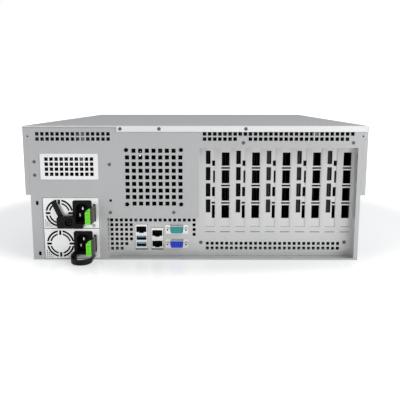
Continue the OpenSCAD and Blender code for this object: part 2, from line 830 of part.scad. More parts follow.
// Fan housing, its axis along Y, from y = 0 to y = t. Two square flanges stand out from
// the round duct, and four struts hold the motor plate with the bearing tube.
module fan_frame(w, t, bolts) {
    flange_t = 0.14 * t;
    duct_t = 1.6;
    duct_r = w / 2 - 0.4;
    boss_r = 0.045 * w;
    strut_w = 3;
    plate_t = motor_plate_t(t);
    color("#232426") {
        upright(0, t) difference() {
            circle(duct_r);
            circle(duct_r - duct_t);
        }
        for (y = [0, t - flange_t]) upright(y, flange_t) difference() {
            square(w, center = true);
            circle(duct_r - duct_t);
            holes_at(bolts, fan_bolt_hole_r);
        }
        for (p = bolts) upright(flange_t - eps, t - 2 * flange_t + 2 * eps) translate(p) difference() {
            circle(boss_r);
            circle(fan_bolt_hole_r);
        }
        upright(t - plate_t, plate_t) {
            circle(0.24 * w);
            for (k = [0:3]) rotate(45 + k * 90) translate([0, -strut_w / 2])
                square([duct_r - duct_t / 2, strut_w]);
        }
        translate([0, fan_cap_t + 2, 0]) bearing_tube(t - plate_t - fan_cap_t - 2 + eps);
    }
}

module rear_fan_frame() {
    translate([rear_fan_x, inner_rear_y, rear_fan_z])
        fan_frame(rear_fan_w, rear_fan_t, fan_corners(0, 0, rear_fan_w));
}

module rear_fan_rotor() {
    translate([rear_fan_x, inner_rear_y + 1, rear_fan_z])
        fan_rotor(rear_fan_w / 2 - fan_tip_gap, rotor_t(rear_fan_t));
}

mid_fan_n = 3;
mid_fan_pitch = 140;
mid_fan_z = sheet_t + 12 + mid_fan_w / 2;

function mid_fan_x(k) = (k - (mid_fan_n - 1) / 2) * mid_fan_pitch;

module fan_wall() {
    half = body_w / 2 - sheet_t - 1;
    color(steel) {
        upright(fan_wall_y, sheet_t) difference() {
            window(-half, sheet_t, half, cover_z - 3);
            for (k = [0:mid_fan_n - 1]) translate([mid_fan_x(k), mid_fan_z]) {
                circle(mid_fan_w / 2 - 2);
                holes_at(fan_corners(0, 0, mid_fan_w), fan_bolt_hole_r);
            }
        }
        block(-half, fan_wall_y, cover_z - 3 - sheet_t, half, fan_wall_y + 14, cover_z - 3);
        block(-half, fan_wall_y - 14, sheet_t, half, fan_wall_y + eps, 2 * sheet_t);
    }
}

module mid_fan_frames() {
    for (k = [0:mid_fan_n - 1])
        translate([mid_fan_x(k), fan_wall_y + sheet_t + mid_fan_t, mid_fan_z])
            rotate([0, 0, 180]) fan_frame(mid_fan_w, mid_fan_t, fan_corners(0, 0, mid_fan_w));
}

module mid_fan_rotor(k) {
    translate([mid_fan_x(k), fan_wall_y + sheet_t + mid_fan_t - 1, mid_fan_z])
        rotate([0, 0, 180])
            fan_rotor(mid_fan_w / 2 - fan_tip_gap, rotor_t(mid_fan_t));
}

// ---- boards, processors and memory --------------------------------------------------------

board_t = 1.6;
board_x0 = -120;
board_w = 305;
board_l = 330;
board_y0 = bulkhead_y + sheet_t + 0.8;
cpu_ys = [-226, -84];
cpu_x = -57;
sink_w = 76;
sink_l = 78;
sink_top_z = 112;
fin_n = 16;
fin_t = 1;
dimm_xs = [-114, -106, -9, -1];
dimm_l = 133.3;
dimm_h = 31.2;
dimm_slot_h = 7;

module motherboard() {
    color(board_green) {
        block(board_x0, board_y0, board_top_z - board_t, board_x0 + board_w,
              board_y0 + board_l, board_top_z);
        for (y = cpu_ys) {
            block(cpu_x - 30, y + 8, board_top_z - eps, cpu_x + 30, y + sink_l - 8, board_top_z + 6);
            for (x = dimm_xs)
                block(x - 3, y - 30, board_top_z - eps, x + 3, y - 30 + dimm_l + 6,
                      board_top_z + dimm_slot_h);
        }
        block(60, -40, board_top_z - eps, 100, 0, board_top_z + 12);
        block(130, 0, board_top_z - eps, 182, 12, board_top_z + 14);
    }
}

module cpu_heatsinks() {
    base_z = board_top_z + 6;
    fin_gap = sink_w / (fin_n - 1) - fin_t / (fin_n - 1);
    color("#b9bcc0") for (y = cpu_ys) {
        block(cpu_x - sink_w / 2, y, base_z, cpu_x + sink_w / 2, y + sink_l, base_z + 6);
        for (k = [0:fin_n - 1])
            block(cpu_x - sink_w / 2 + k * fin_gap, y, base_z + 6 - eps,
                  cpu_x - sink_w / 2 + k * fin_gap + fin_t, y + sink_l, sink_top_z);
    }
}

module memory_modules() {
    color("#23663f") for (y = cpu_ys, x = dimm_xs)
        block(x - 0.7, y - 27, board_top_z + dimm_slot_h, x + 0.7, y - 27 + dimm_l,
              board_top_z + dimm_slot_h + dimm_h);
}

riser_t = 2.4;
riser_z = 33.2;
riser_x0 = 8;
riser_x1 = 214;
riser_l = 240;
socket_h = 11.2;
socket_w = 7.4;
socket_l = 89;
card_edge_z = riser_z + riser_t + 3.4;
card_bottom_z = riser_z + riser_t + socket_h + gap;
card_top_z = card_edge_z + 107;
card_board_dx = -7.4;
card_y0 = bulkhead_y + sheet_t + 2.4;

module riser_board() {
    y0 = bulkhead_y + sheet_t + 4;
    color(board_green) block(riser_x0, y0, riser_z, riser_x1, y0 + riser_l, riser_z + riser_t);
}

module card_sockets() {
    y0 = card_y0 + 48;
    color(plastic) for (i = [0:gpu_n - 1]) {
        x = slot_centre(2 * i) + card_board_dx + board_t / 2;
        difference() {
            block(x - socket_w / 2, y0, riser_z + riser_t, x + socket_w / 2, y0 + socket_l,
                  riser_z + riser_t + socket_h);
            block(x - 1.1, y0 + 2, riser_z + riser_t + 2, x + 1.1, y0 + socket_l - 2,
                  riser_z + riser_t + socket_h + 1);
        }
    }
}

module gpu_boards() {
    y0 = card_y0 + 0.6;
    color(board_green) for (i = [0:gpu_n - 1]) {
        x = slot_centre(2 * i) + card_board_dx;
        block(x, y0, card_bottom_z, x + board_t, y0 + gpu_l - 4, card_top_z);
        block(x, card_y0 + 52, card_edge_z, x + board_t, card_y0 + 133, card_bottom_z + eps);
    }
}

standoff_r = 3;

module board_standoffs() {
    riser_y0 = bulkhead_y + sheet_t + 14;
    color("#b9a15a") {
        for (x = [board_x0 + 8, 30, board_x0 + board_w - 8],
             y = [board_y0 + 8, board_y0 + board_l / 2, board_y0 + board_l - 8])
            translate([x, y, sheet_t]) cylinder(h = board_top_z - board_t - sheet_t, r = standoff_r);
        for (x = [50, 170], y = [riser_y0, riser_y0 + riser_l / 2, riser_y0 + riser_l - 20])
            translate([x, y, board_top_z]) cylinder(h = riser_z - board_top_z, r = standoff_r);
    }
}

// ---- accelerator cards ----------------------------------------------------------------------

shroud_dx0 = -5.8;
shroud_dx1 = 30.4;
shroud_t = 1.6;
shroud_set = 20;
port_dx = -3;
port_w = 5.6;
port_h = 17.2;
port_pitch = 21.9;
first_port_z = card_window_top_z - 14.2 - 3 * port_pitch;
bracket_t = 0.9;
bracket_y = bulkhead_y + sheet_t + 0.3;
bracket_dx0 = -9.3;
bracket_dx1 = 29.7;
vent_low_z = 53.3;
vent_high_z = card_window_top_z - 7.6;
thin_h = 2.3;
bar_h = 1.8;
tall_h = (vent_high_z - vent_low_z - 3 * (thin_h + 2 * bar_h)) / 4;
vent_step = tall_h + thin_h + 2 * bar_h;
small_vent_dx = 4.3;

card_fin_n = 8;
card_fin_t = 1;
card_fin_inset = 24;

// A card's shroud, open at both ends for the air that is blown through its fin stack.
module gpu(i) {
    x0 = slot_centre(2 * i) + shroud_dx0;
    x1 = slot_centre(2 * i) + shroud_dx1;
    y0 = card_y0 + shroud_set;
    y1 = card_y0 + gpu_l;
    z0 = card_bottom_z + gap;
    z1 = card_top_z + 2;
    fin_step = (x1 - x0 - 2 * shroud_t) / (card_fin_n + 1);
    color("#2b2d30") {
        difference() {
            block(x0, y0, z0, x1, y1, z1);
            block(x0 + shroud_t, y0 - 1, z0 + shroud_t, x1 - shroud_t, y1 + 1, z1 - shroud_t);
        }
        for (k = [1:card_fin_n])
            block(x0 + shroud_t + k * fin_step - card_fin_t / 2, y0 + card_fin_inset, z0 + shroud_t - eps,
                  x0 + shroud_t + k * fin_step + card_fin_t / 2, y1 - card_fin_inset, z1 - shroud_t + eps);
    }
}

// Openings of the wide slot: four tall ones with a thin one between each pair.
module wide_vents() {
    for (k = [0:3]) {
        window(-bracket_vent_w / 2, vent_low_z + k * vent_step,
               bracket_vent_w / 2, vent_low_z + k * vent_step + tall_h);
        if (k < 3)
            window(-bracket_vent_w / 2 - 0.6, vent_low_z + k * vent_step + tall_h + bar_h,
                   bracket_vent_w / 2 + 0.6, vent_low_z + (k + 1) * vent_step - bar_h);
    }
}

// Narrow openings beside the display sockets, each as tall as the room there allows.
module narrow_vents() {
    for (v = [[53.3, 71.2, 4.2], [73, 75.6, 4.6], [83.2, 95.9, 4], [101.6, 118, 2.6], [124.2, 131.5, 4]])
        window(1.9 - v[2], v[0], 1.9, v[1]);
}

module gpu_brackets() {
    color(bright_steel) for (i = [0:gpu_n - 1]) {
        x = slot_centre(2 * i);
        upright(bracket_y, bracket_t) translate([x, 0]) difference() {
            window(bracket_dx0, tongue_slit_z + 4, bracket_dx1, card_window_top_z);
            for (k = [0:3])
                translate([port_dx, first_port_z + k * port_pitch])
                    square([port_w + 0.6, port_h + 0.6], center = true);
            translate([small_vent_dx, 0]) narrow_vents();
            translate([slot_pitch, 0]) wide_vents();
        }
        block(x + bracket_dx0, bracket_y, card_window_top_z - eps, x + bracket_dx1,
              bracket_y + 10, card_window_top_z + bracket_t);
    }
}

// Display sockets: a metal shell with one bevelled corner and a tongue inside.
module gpu_ports() {
    bevel = 1.6;
    y0 = bracket_y - 1.4;
    depth = 14;
    color("#8d9092") for (i = [0:gpu_n - 1], k = [0:3])
        translate([slot_centre(2 * i) + port_dx, 0, first_port_z + k * port_pitch]) {
            upright(y0, depth) difference() {
                square([port_w, port_h], center = true);
                polygon([
                    [-port_w / 2 + 0.5, -port_h / 2 + 0.5], [port_w / 2 - 0.5, -port_h / 2 + 0.5],
                    [port_w / 2 - 0.5, port_h / 2 - 0.5 - bevel],
                    [port_w / 2 - 0.5 - bevel, port_h / 2 - 0.5], [-port_w / 2 + 0.5, port_h / 2 - 0.5]
                ]);
            }
            upright(y0 + 2, depth - 2) square([1.5, port_h - 3], center = true);
            upright(y0 + depth - 2, 2) square([port_w - 0.5, port_h - 0.5], center = true);
        }
}

// ---- disk cage and trays ---------------------------------------------------------------------

bay_gap = 0.6;
cage_wall = 1.2;
bay_pitch = tray_w + 2 * bay_gap + cage_wall;
tray_z = sheet_t + cage_wall + 0.5;
cage_top_z = tray_z + tray_h + 0.5;
cage_depth = tray_l + 12;
cage_y0 = front_y - shell_end - cage_depth;
tray_y0 = front_y - tray_l;
bezel_t = 12;

function tray_x(k) = (k - (tray_n - 1) / 2) * bay_pitch;

module drive_cage() {
    half = tray_n * bay_pitch / 2;
    y1 = front_y - shell_end;
    color(steel) {
        block(-half, cage_y0, sheet_t, half, y1, sheet_t + cage_wall);
        block(-half, cage_y0, cage_top_z, half, y1, cage_top_z + cage_wall);
        for (k = [0:tray_n])
            block(-half + k * bay_pitch - (k == 0 ? 0 : k == tray_n ? cage_wall : cage_wall / 2),
                  cage_y0, sheet_t,
                  -half + k * bay_pitch + (k == 0 ? cage_wall : k == tray_n ? 0 : cage_wall / 2),
                  y1, cage_top_z + eps);
    }
}

module drive_backplane() {
    half = tray_n * bay_pitch / 2;
    y0 = cage_y0 - 2.4;
    color(board_green) {
        difference() {
            block(-half, y0, sheet_t + 1, half, y0 + 2, cage_top_z + 6);
            for (k = [0:tray_n - 1]) for (s = [-1, 1])
                translate([tray_x(k) + s * 34, y0 - 1, tray_z + 8]) cube([14, 4, 14]);
        }
        for (k = [0:tray_n - 1])
            block(tray_x(k) - 17, y0 + 2 - eps, tray_z + 4, tray_x(k) + 17, y0 + 8, tray_z + 10);
    }
}

lever_t = 4;
lever_w = tray_w - 16;
lever_h = 20;
hinge_r = 1.5;
hinge_inset = 6;

// An empty tray: two side rails, a floor with an opening and a perforated bezel.
module drive_tray(k) {
    rail_t = 1.6;
    x = tray_x(k);
    z0 = tray_z;
    z1 = tray_z + tray_h;
    front = front_y - gap;
    pivot_x = x + tray_w / 2 - hinge_inset;
    pivot_y = front - lever_t / 2 - 0.5;
    color("#3a3d41") {
        for (s = [-1, 1])
            block(x + s * (tray_w / 2 - rail_t / 2) - rail_t / 2, tray_y0, z0,
                  x + s * (tray_w / 2 - rail_t / 2) + rail_t / 2, front - bezel_t + eps, z0 + 14);
        difference() {
            block(x - tray_w / 2, tray_y0, z0, x + tray_w / 2, front - bezel_t + eps, z0 + 1.2);
            block(x - tray_w / 2 + 20, tray_y0 + 30, z0 - 1, x + tray_w / 2 - 20,
                  front - bezel_t - 20, z0 + 3);
        }
        difference() {
            block(x - tray_w / 2, front - bezel_t, z0, x + tray_w / 2, front, z1);
            block(x - tray_w / 2 + 4, front - lever_t - 1.2, z0 + (tray_h - lever_h) / 2 - 0.6,
                  x + tray_w / 2 - 2, front + 1, z0 + (tray_h + lever_h) / 2 + 0.6);
            for (c = [0:11]) block(x - 42 + c * 7, front - bezel_t - 1, z0 + 8,
                                   x - 38 + c * 7, front - lever_t, z1 - 8);
        }
        translate([pivot_x, pivot_y, z0 + (tray_h - lever_h) / 2 - 0.8])
            cylinder(h = lever_h + 1.6, r = hinge_r);
    }
}

// The lever that locks a tray, hinged on an upright pin near the tray's right edge.
module tray_lever(k) {
    x = tray_x(k);
    front = front_y - gap;
    pivot_x = x + tray_w / 2 - hinge_inset;
    pivot_y = front - lever_t / 2 - 0.5;
    z0 = tray_z + (tray_h - lever_h) / 2;
    color("#54585d") difference() {
        union() {
            block(pivot_x - lever_w, pivot_y - lever_t / 2, z0, pivot_x, pivot_y + lever_t / 2,
                  z0 + lever_h);
            translate([pivot_x, pivot_y, z0]) cylinder(h = lever_h, r = lever_t / 2);
        }
        translate([pivot_x, pivot_y, z0 - 1]) cylinder(h = lever_h + 2, r = hinge_r + 0.15);
        for (c = [0:6]) block(pivot_x - lever_w + 14 + c * 9, pivot_y - lever_t, z0 + 4,
                              pivot_x - lever_w + 20 + c * 9, pivot_y + lever_t, z0 + lever_h - 4);
    }
}

// ---- front panel, ears and buttons ---------------------------------------------------------------

front_slot_cols = 40;
front_slot_pitch = 9.6;
front_slot_rows = 4;
front_slot_w = 6;
front_slot_rib = 6;
front_slot_z0 = 50;
power_pos = [-205, cover_z - 24.8];
power_r = 4.5;
reset_pos = [-205, cover_z - 40.8];
reset_r = 2;
button_gap = 0.25;

module front_panel() {
    half = tray_n * bay_pitch / 2;
    row_pitch = (cover_z - 6.8 - front_slot_z0) / front_slot_rows;
    color(steel) upright(front_y - sheet_t, sheet_t) difference() {
        window(-body_w / 2, panel_bottom_z, body_w / 2, panel_top_z);
        window(-half + cage_wall, sheet_t + cage_wall, half - cage_wall, cage_top_z);
        for (c = [0:front_slot_cols - 1], r = [0:front_slot_rows - 1])
            translate([(c - (front_slot_cols - 1) / 2) * front_slot_pitch,
                       front_slot_z0 + (r + 0.5) * row_pitch - front_slot_rib / 2])
                square([front_slot_w, row_pitch - front_slot_rib], center = true);
        translate(power_pos) circle(power_r + button_gap);
        translate(reset_pos) circle(reset_r + button_gap);
    }
}

// A button's cap through the panel, with a collar behind it and a stem in the switch.
module panel_button(pos, r) {
    collar_y = front_y - sheet_t - 0.1;
    bar_y(pos[0], pos[1], collar_y - 1.6, front_y + 2.2, r);
    bar_y(pos[0], pos[1], collar_y - 1.6, collar_y, r + 1.2);
}

module power_button() {
    color("#e8e8e8") panel_button(power_pos, power_r);
}

module reset_button() {
    color("#e8e8e8") panel_button(reset_pos, reset_r);
}

handle_span = 110;
handle_r = 4;
handle_reach = 34;
handle_x = body_w / 2 + handle_r + 2 * gap;
ear_t = 3;
ear_foot = 30;
ear_lap = 2.5;
foot_t = 1.6;
ear_z0 = 1;
ear_z1 = cover_z - 0.8;

// The right-hand ear seen from the rear; the other is its mirror image.
module ear() {
    mid_z = (ear_z0 + ear_z1) / 2;
    color(steel) {
        upright(front_y, ear_t) difference() {
            window(body_w / 2 - ear_lap, ear_z0, body_w / 2 + ear_w, ear_z1);
            for (s = [-1, 1])
                translate([body_w / 2 + ear_w - ear_hole_inset, mid_z + s * ear_hole_rise / 2])
                rotate(90) slot_2d(ear_slot_l, ear_hole_r);
            for (s = [-1, 1]) translate([handle_x, mid_z + s * handle_span / 2])
                circle(handle_r - 1);
        }
        block(body_w / 2, front_y - ear_foot, ear_z0 + 1, body_w / 2 + foot_t, front_y + eps,
              step_z - sheet_t - 2);
    }
}

module ear_right() {
    ear();
}

module ear_left() {
    mirror([1, 0, 0]) ear();
}

// Bent round bar handles, one on each ear.
module front_handles() {
    mid_z = (ear_z0 + ear_z1) / 2;
    y0 = front_y + ear_t;
    bend = 10;
    color("#d8dadb") for (s = [-1, 1])
        translate([s * handle_x, y0, mid_z]) {
            for (e = [-1, 1]) {
                translate([0, 0, e * handle_span / 2]) rotate([-90, 0, 0])
                    cylinder(h = handle_reach - bend, r = handle_r);
                translate([0, handle_reach - bend, e * (handle_span / 2 - bend)])
                    rotate([0, 90, 0]) rotate(e > 0 ? 90 : 0) rotate_extrude(angle = 90)
                        translate([bend, 0]) circle(handle_r);
            }
            translate([0, handle_reach, -handle_span / 2 + bend])
                cylinder(h = handle_span - 2 * bend, r = handle_r);
        }
}

// ---- node selection ---------------------------------------------------------------------------

chassis_shell();
rear_panel();
slot_bulkhead();
vent_plate();
top_cover();
cover_screws();
chassis_screws();
psu_cage();
power_board();
psu_case(0);  // psu_1_case
psu_fan(0);  // psu_1_fan
psu_inlet(0);  // psu_1_inlet
psu_latch(0);  // psu_1_latch
psu_1_strap();
psu_case(1);  // psu_2_case
psu_fan(1);  // psu_2_fan
psu_inlet(1);  // psu_2_inlet
psu_latch(1);  // psu_2_latch
psu_2_strap();
rear_fan_frame();
rear_fan_rotor();
motherboard();
lan_usb_jack();
lan_jack_stack();
serial_port();
vga_port();
cpu_heatsinks();
memory_modules();
riser_board();
card_sockets();
gpu(0);  // gpu_1
gpu(1);  // gpu_2
gpu(2);  // gpu_3
gpu(3);  // gpu_4
gpu(4);  // gpu_5
gpu_brackets();
gpu_ports();
gpu_boards();
fan_wall();
mid_fan_frames();
mid_fan_rotor(0);  // mid_fan_rotor_1
mid_fan_rotor(1);  // mid_fan_rotor_2
mid_fan_rotor(2);  // mid_fan_rotor_3
drive_cage();
drive_backplane();
front_panel();
ear_left();
ear_right();
front_handles();
power_button();
reset_button();
board_standoffs();
drive_tray(0);  // drive_tray_1
drive_tray(1);  // drive_tray_2
drive_tray(2);  // drive_tray_3
drive_tray(3);  // drive_tray_4
tray_lever(0);  // tray_lever_1
tray_lever(1);  // tray_lever_2
tray_lever(2);  // tray_lever_3
tray_lever(3);  // tray_lever_4
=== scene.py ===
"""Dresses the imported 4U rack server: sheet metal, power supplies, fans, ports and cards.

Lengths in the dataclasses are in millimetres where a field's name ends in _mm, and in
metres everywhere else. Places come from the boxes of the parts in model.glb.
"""
import logging
import math
from dataclasses import dataclass, field
from enum import Enum

import bmesh
import bpy
from mathutils import Matrix, Vector


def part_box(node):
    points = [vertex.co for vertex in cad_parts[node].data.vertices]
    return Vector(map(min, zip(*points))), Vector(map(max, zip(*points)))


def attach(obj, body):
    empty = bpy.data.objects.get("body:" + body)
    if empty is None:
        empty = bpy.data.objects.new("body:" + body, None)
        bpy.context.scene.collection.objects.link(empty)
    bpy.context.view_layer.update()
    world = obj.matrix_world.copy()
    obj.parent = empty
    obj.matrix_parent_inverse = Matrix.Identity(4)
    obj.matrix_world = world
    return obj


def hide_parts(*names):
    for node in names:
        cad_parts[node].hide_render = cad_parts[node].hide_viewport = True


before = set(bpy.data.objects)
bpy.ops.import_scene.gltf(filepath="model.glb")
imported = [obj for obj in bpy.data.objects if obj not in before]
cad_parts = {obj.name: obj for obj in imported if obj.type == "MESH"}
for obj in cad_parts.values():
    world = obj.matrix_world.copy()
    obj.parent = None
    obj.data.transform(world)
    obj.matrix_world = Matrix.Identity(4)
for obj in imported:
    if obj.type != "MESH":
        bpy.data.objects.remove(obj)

MM = 0.001
LOG = logging.getLogger("server")

Point2 = tuple[float, float]
Outline = list[Point2]
Colour = tuple[float, float, float]


# ---------------------------------------------------------------------------
# Mesh building
# ---------------------------------------------------------------------------


class Axis(Enum):
    """A row axis along which a round or extruded form is built."""

    X = 0
    Y = 1
    Z = 2

    def place(self, u: float, v: float, w: float) -> Vector:
        """Returns the point whose run along this axis is w and whose cross places are u, v."""
        if self is Axis.X:
            return Vector((w, u, v))
        if self is Axis.Y:
            return Vector((u, w, v))
        return Vector((u, v, w))


def circle(centre: Point2, radius: float, segments: int = 32, start: float = 0.0) -> Outline:
    """Returns a round outline.

    Args:
        centre: Middle of the circle.
        radius: Its radius.
        segments: How many sides it is drawn with.
        start: Angle of the first point, in radians.
    """
    step = math.tau / segments
    return [
        (centre[0] + radius * math.cos(start + k * step), centre[1] + radius * math.sin(start + k * step))
        for k in range(segments)
    ]


def rectangle(lo: Point2, hi: Point2, radius: float = 0.0, segments: int = 4) -> Outline:
    """Returns a rectangular outline whose corners are rounded by radius.

    Args:
        lo: Lowest corner.
        hi: Highest corner.
        radius: Corner radius, 0 for a sharp corner.
        segments: Sides of each rounded corner.
    """
    if radius <= 0.0:
        return [(lo[0], lo[1]), (hi[0], lo[1]), (hi[0], hi[1]), (lo[0], hi[1])]
    corners = [
        ((hi[0] - radius, lo[1] + radius), -0.25),
        ((hi[0] - radius, hi[1] - radius), 0.0),
        ((lo[0] + radius, hi[1] - radius), 0.25),
        ((lo[0] + radius, lo[1] + radius), 0.5),
    ]
    points: Outline = []
    for centre, turn in corners:
        for k in range(segments + 1):
            angle = math.tau * (turn + 0.25 * k / segments)
            points.append((centre[0] + radius * math.cos(angle), centre[1] + radius * math.sin(angle)))
    return points


def cross(centre: Point2, arm: float, width: float) -> Outline:
    """Returns the outline of a cross recess, arm long from its middle and width across."""
    half = width / 2
    signs = [
        (half, -arm), (half, -half), (arm, -half), (arm, half), (half, half), (half, arm),
        (-half, arm), (-half, half), (-arm, half), (-arm, -half), (-half, -half), (-half, -arm),
    ]
    return [(centre[0] + x, centre[1] + z) for x, z in signs]


def d_shape(centre: Point2, width: float, height: float, lean: float, radius: float) -> Outline:
    """Returns a D connector's outline: a rounded trapezoid, wider at the top.

    Args:
        centre: Middle of the outline.
        width: Width at the top.
        height: Height.
        lean: How far each lower corner stands in from the upper one.
        radius: Corner radius.
    """
    corners = [
        Vector((width / 2 - lean, -height / 2)), Vector((width / 2, height / 2)),
        Vector((-width / 2, height / 2)), Vector((-width / 2 + lean, -height / 2)),
    ]
    points: Outline = []
    for k, corner in enumerate(corners):
        before = (corners[k - 1] - corner).normalized()
        after = (corners[(k + 1) % 4] - corner).normalized()
        for t in (0.0, 0.25, 0.5, 0.75, 1.0):
            p = corner + before * radius * (1 - t) ** 2 + after * radius * t ** 2
            points.append((centre[0] + p.x, centre[1] + p.y))
    return points


class Solid:
    """A mesh under construction, in the row frame, with a finish number on each face."""

    def __init__(self) -> None:
        """Starts an empty mesh."""
        self.bm = bmesh.new()

    def box(self, lo: Vector, hi: Vector, finish: int = 0, bevel: float = 0.0) -> None:
        """Adds a block, its edges bevelled.

        Args:
            lo: Lowest corner.
            hi: Highest corner.
            finish: Finish number of its faces.
            bevel: Width of the bevel on every edge, 0 for none.
        """
        size = Vector(hi) - Vector(lo)
        middle = (Vector(hi) + Vector(lo)) / 2
        matrix = Matrix.Translation(middle) @ Matrix.Diagonal((*size, 1.0))
        made = bmesh.ops.create_cube(self.bm, size=1.0, matrix=matrix)
        faces = {f for v in made["verts"] for f in v.link_faces}
        for face in faces:
            face.material_index = finish
        if bevel > 0.0:
            edges = list({e for v in made["verts"] for e in v.link_edges})
            result = bmesh.ops.bevel(
                self.bm, geom=edges, offset=bevel, segments=2, profile=0.5, affect="EDGES"
            )
            for face in result["faces"]:
                face.material_index = finish

    def plate(
        self,
        outlines: list[Outline],
        start: float,
        end: float,
        axis: Axis = Axis.Y,
        finish: int = 0,
        bevel: float = 0.0,
    ) -> None:
        """Adds a flat form with holes, extruded along an axis.

        Args:
            outlines: Its outer outline, and then its holes.
            start: Where it starts along the axis.
            end: Where it ends along the axis.
            axis: The axis it is extruded along.
            finish: Finish number of its faces.
            bevel: Width of the bevel round both rims of its outer outline.
        """
        edges = []
        outer = []
        for number, outline in enumerate(outlines):
            verts = [self.bm.verts.new(axis.place(u, v, start)) for u, v in outline]
            loop = [self.bm.edges.new((verts[k - 1], verts[k])) for k in range(len(verts))]
            edges += loop
            if number == 0:
                outer = loop
        if len(outlines) == 1:
            faces = [self.bm.faces.new([e.verts[1] for e in outer])]
        else:
            filled = bmesh.ops.triangle_fill(self.bm, use_beauty=True, edges=edges)
            faces = [g for g in filled["geom"] if isinstance(g, bmesh.types.BMFace)]
        grown = bmesh.ops.extrude_face_region(self.bm, geom=faces)
        moved = [g for g in grown["geom"] if isinstance(g, bmesh.types.BMVert)]
        shift = axis.place(0.0, 0.0, end - start)
        for vert in moved:
            vert.co += shift
        everything = set(faces)
        for vert in moved:
            everything.update(vert.link_faces)
        for face in everything:
            face.material_index = finish
        if bevel > 0.0:
            top = [
                e for e in {e for v in moved for e in v.link_edges}
                if e.is_manifold and e.calc_face_angle(0.0) > 1.2
            ]
            result = bmesh.ops.bevel(
                self.bm, geom=top, offset=bevel, segments=2, profile=0.5, affect="EDGES"
            )
            for face in result["faces"]:
                face.material_index = finish

    def lathe(
        self,
        profile: list[Point2],
        centre: Vector,
        axis: Axis = Axis.Y,
        segments: int = 32,
        finish: int = 0,
    ) -> None:
        """Adds a turned form.

        Args:
            profile: (radius, run along the axis) points; radius 0 closes an end.
            centre: Point on the axis that the runs are measured from.
            axis: The axis it is turned about.
            segments: Sides round the axis.
            finish: Finish number of its faces.
        """
        base = Vector(centre)
        rings = []
        for radius, run in profile:
            if radius <= 0.0:
                rings.append([self.bm.verts.new(base + axis.place(0.0, 0.0, run))])
                continue
            rings.append([
                self.bm.verts.new(base + axis.place(u, v, run))
                for u, v in circle((0.0, 0.0), radius, segments)
            ])
        for low, high in zip(rings, rings[1:]):
            for k in range(segments):
                quad = [low[k - 1 if len(low) > 1 else 0], low[k if len(low) > 1 else 0],
                        high[k if len(high) > 1 else 0], high[k - 1 if len(high) > 1 else 0]]
                unique = list(dict.fromkeys(quad))
                if len(unique) > 2:
                    face = self.bm.faces.new(unique)
                    face.material_index = finish
                    face.smooth = True

    def sweep(self, path: list[Vector], width: float, thick: float, across: Vector, finish: int = 0) -> None:
        """Adds a flat band along a path.

        Args:
            path: Points along its middle.
            width: Width along the across direction.
            thick: Thickness.
            across: Unit direction of its width.
            finish: Finish number of its faces.
        """
        sections = []
        for k, point in enumerate(path):
            ahead = path[min(k + 1, len(path) - 1)] - path[max(k - 1, 0)]
            side = ahead.normalized().cross(across).normalized()
            rim = 0.3 * thick
            outline = rectangle((-width / 2, -thick / 2), (width / 2, thick / 2), rim, 2)
            sections.append([self.bm.verts.new(point + across * u + side * v) for u, v in outline])
        count = len(sections[0])
        for low, high in zip(sections, sections[1:]):
            for k in range(count):
                face = self.bm.faces.new((low[k - 1], low[k], high[k], high[k - 1]))
                face.material_index = finish
                face.smooth = True
        for ends in (sections[0], sections[-1]):
            self.bm.faces.new(ends).material_index = finish

    def finish(
        self, name: str, finishes: list[bpy.types.Material], body: str, slot: str, *nodes: str,
        smooth_deg: float = 35.0,
    ) -> bpy.types.Object:
        """Turns the mesh into an object that rides on a body.

        Args:
            name: The piece's name.
            finishes: Materials in the order of the finish numbers.
            body: The body it rides on.
            slot: Not used.
            nodes: CAD nodes that it stands for.
            smooth_deg: Edges sharper than this stay hard.

        Returns:
            The new object.
        """
        bmesh.ops.recalc_face_normals(self.bm, faces=self.bm.faces)
        mesh = bpy.data.meshes.new(name)
        self.bm.to_mesh(mesh)
        self.bm.free()
        for material in finishes:
            mesh.materials.append(material)
        for polygon in mesh.polygons:
            polygon.use_smooth = True
        mesh.set_sharp_from_angle(angle=math.radians(smooth_deg))
        piece = bpy.data.objects.new(name, mesh)
        bpy.context.scene.collection.objects.link(piece)
        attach(piece, body)
        if nodes:
            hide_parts(*nodes)
        LOG.info("%s: %d faces on %s", name, len(mesh.polygons), body)
        return piece


# ---------------------------------------------------------------------------
# Surface effects shared by the finishes
# ---------------------------------------------------------------------------


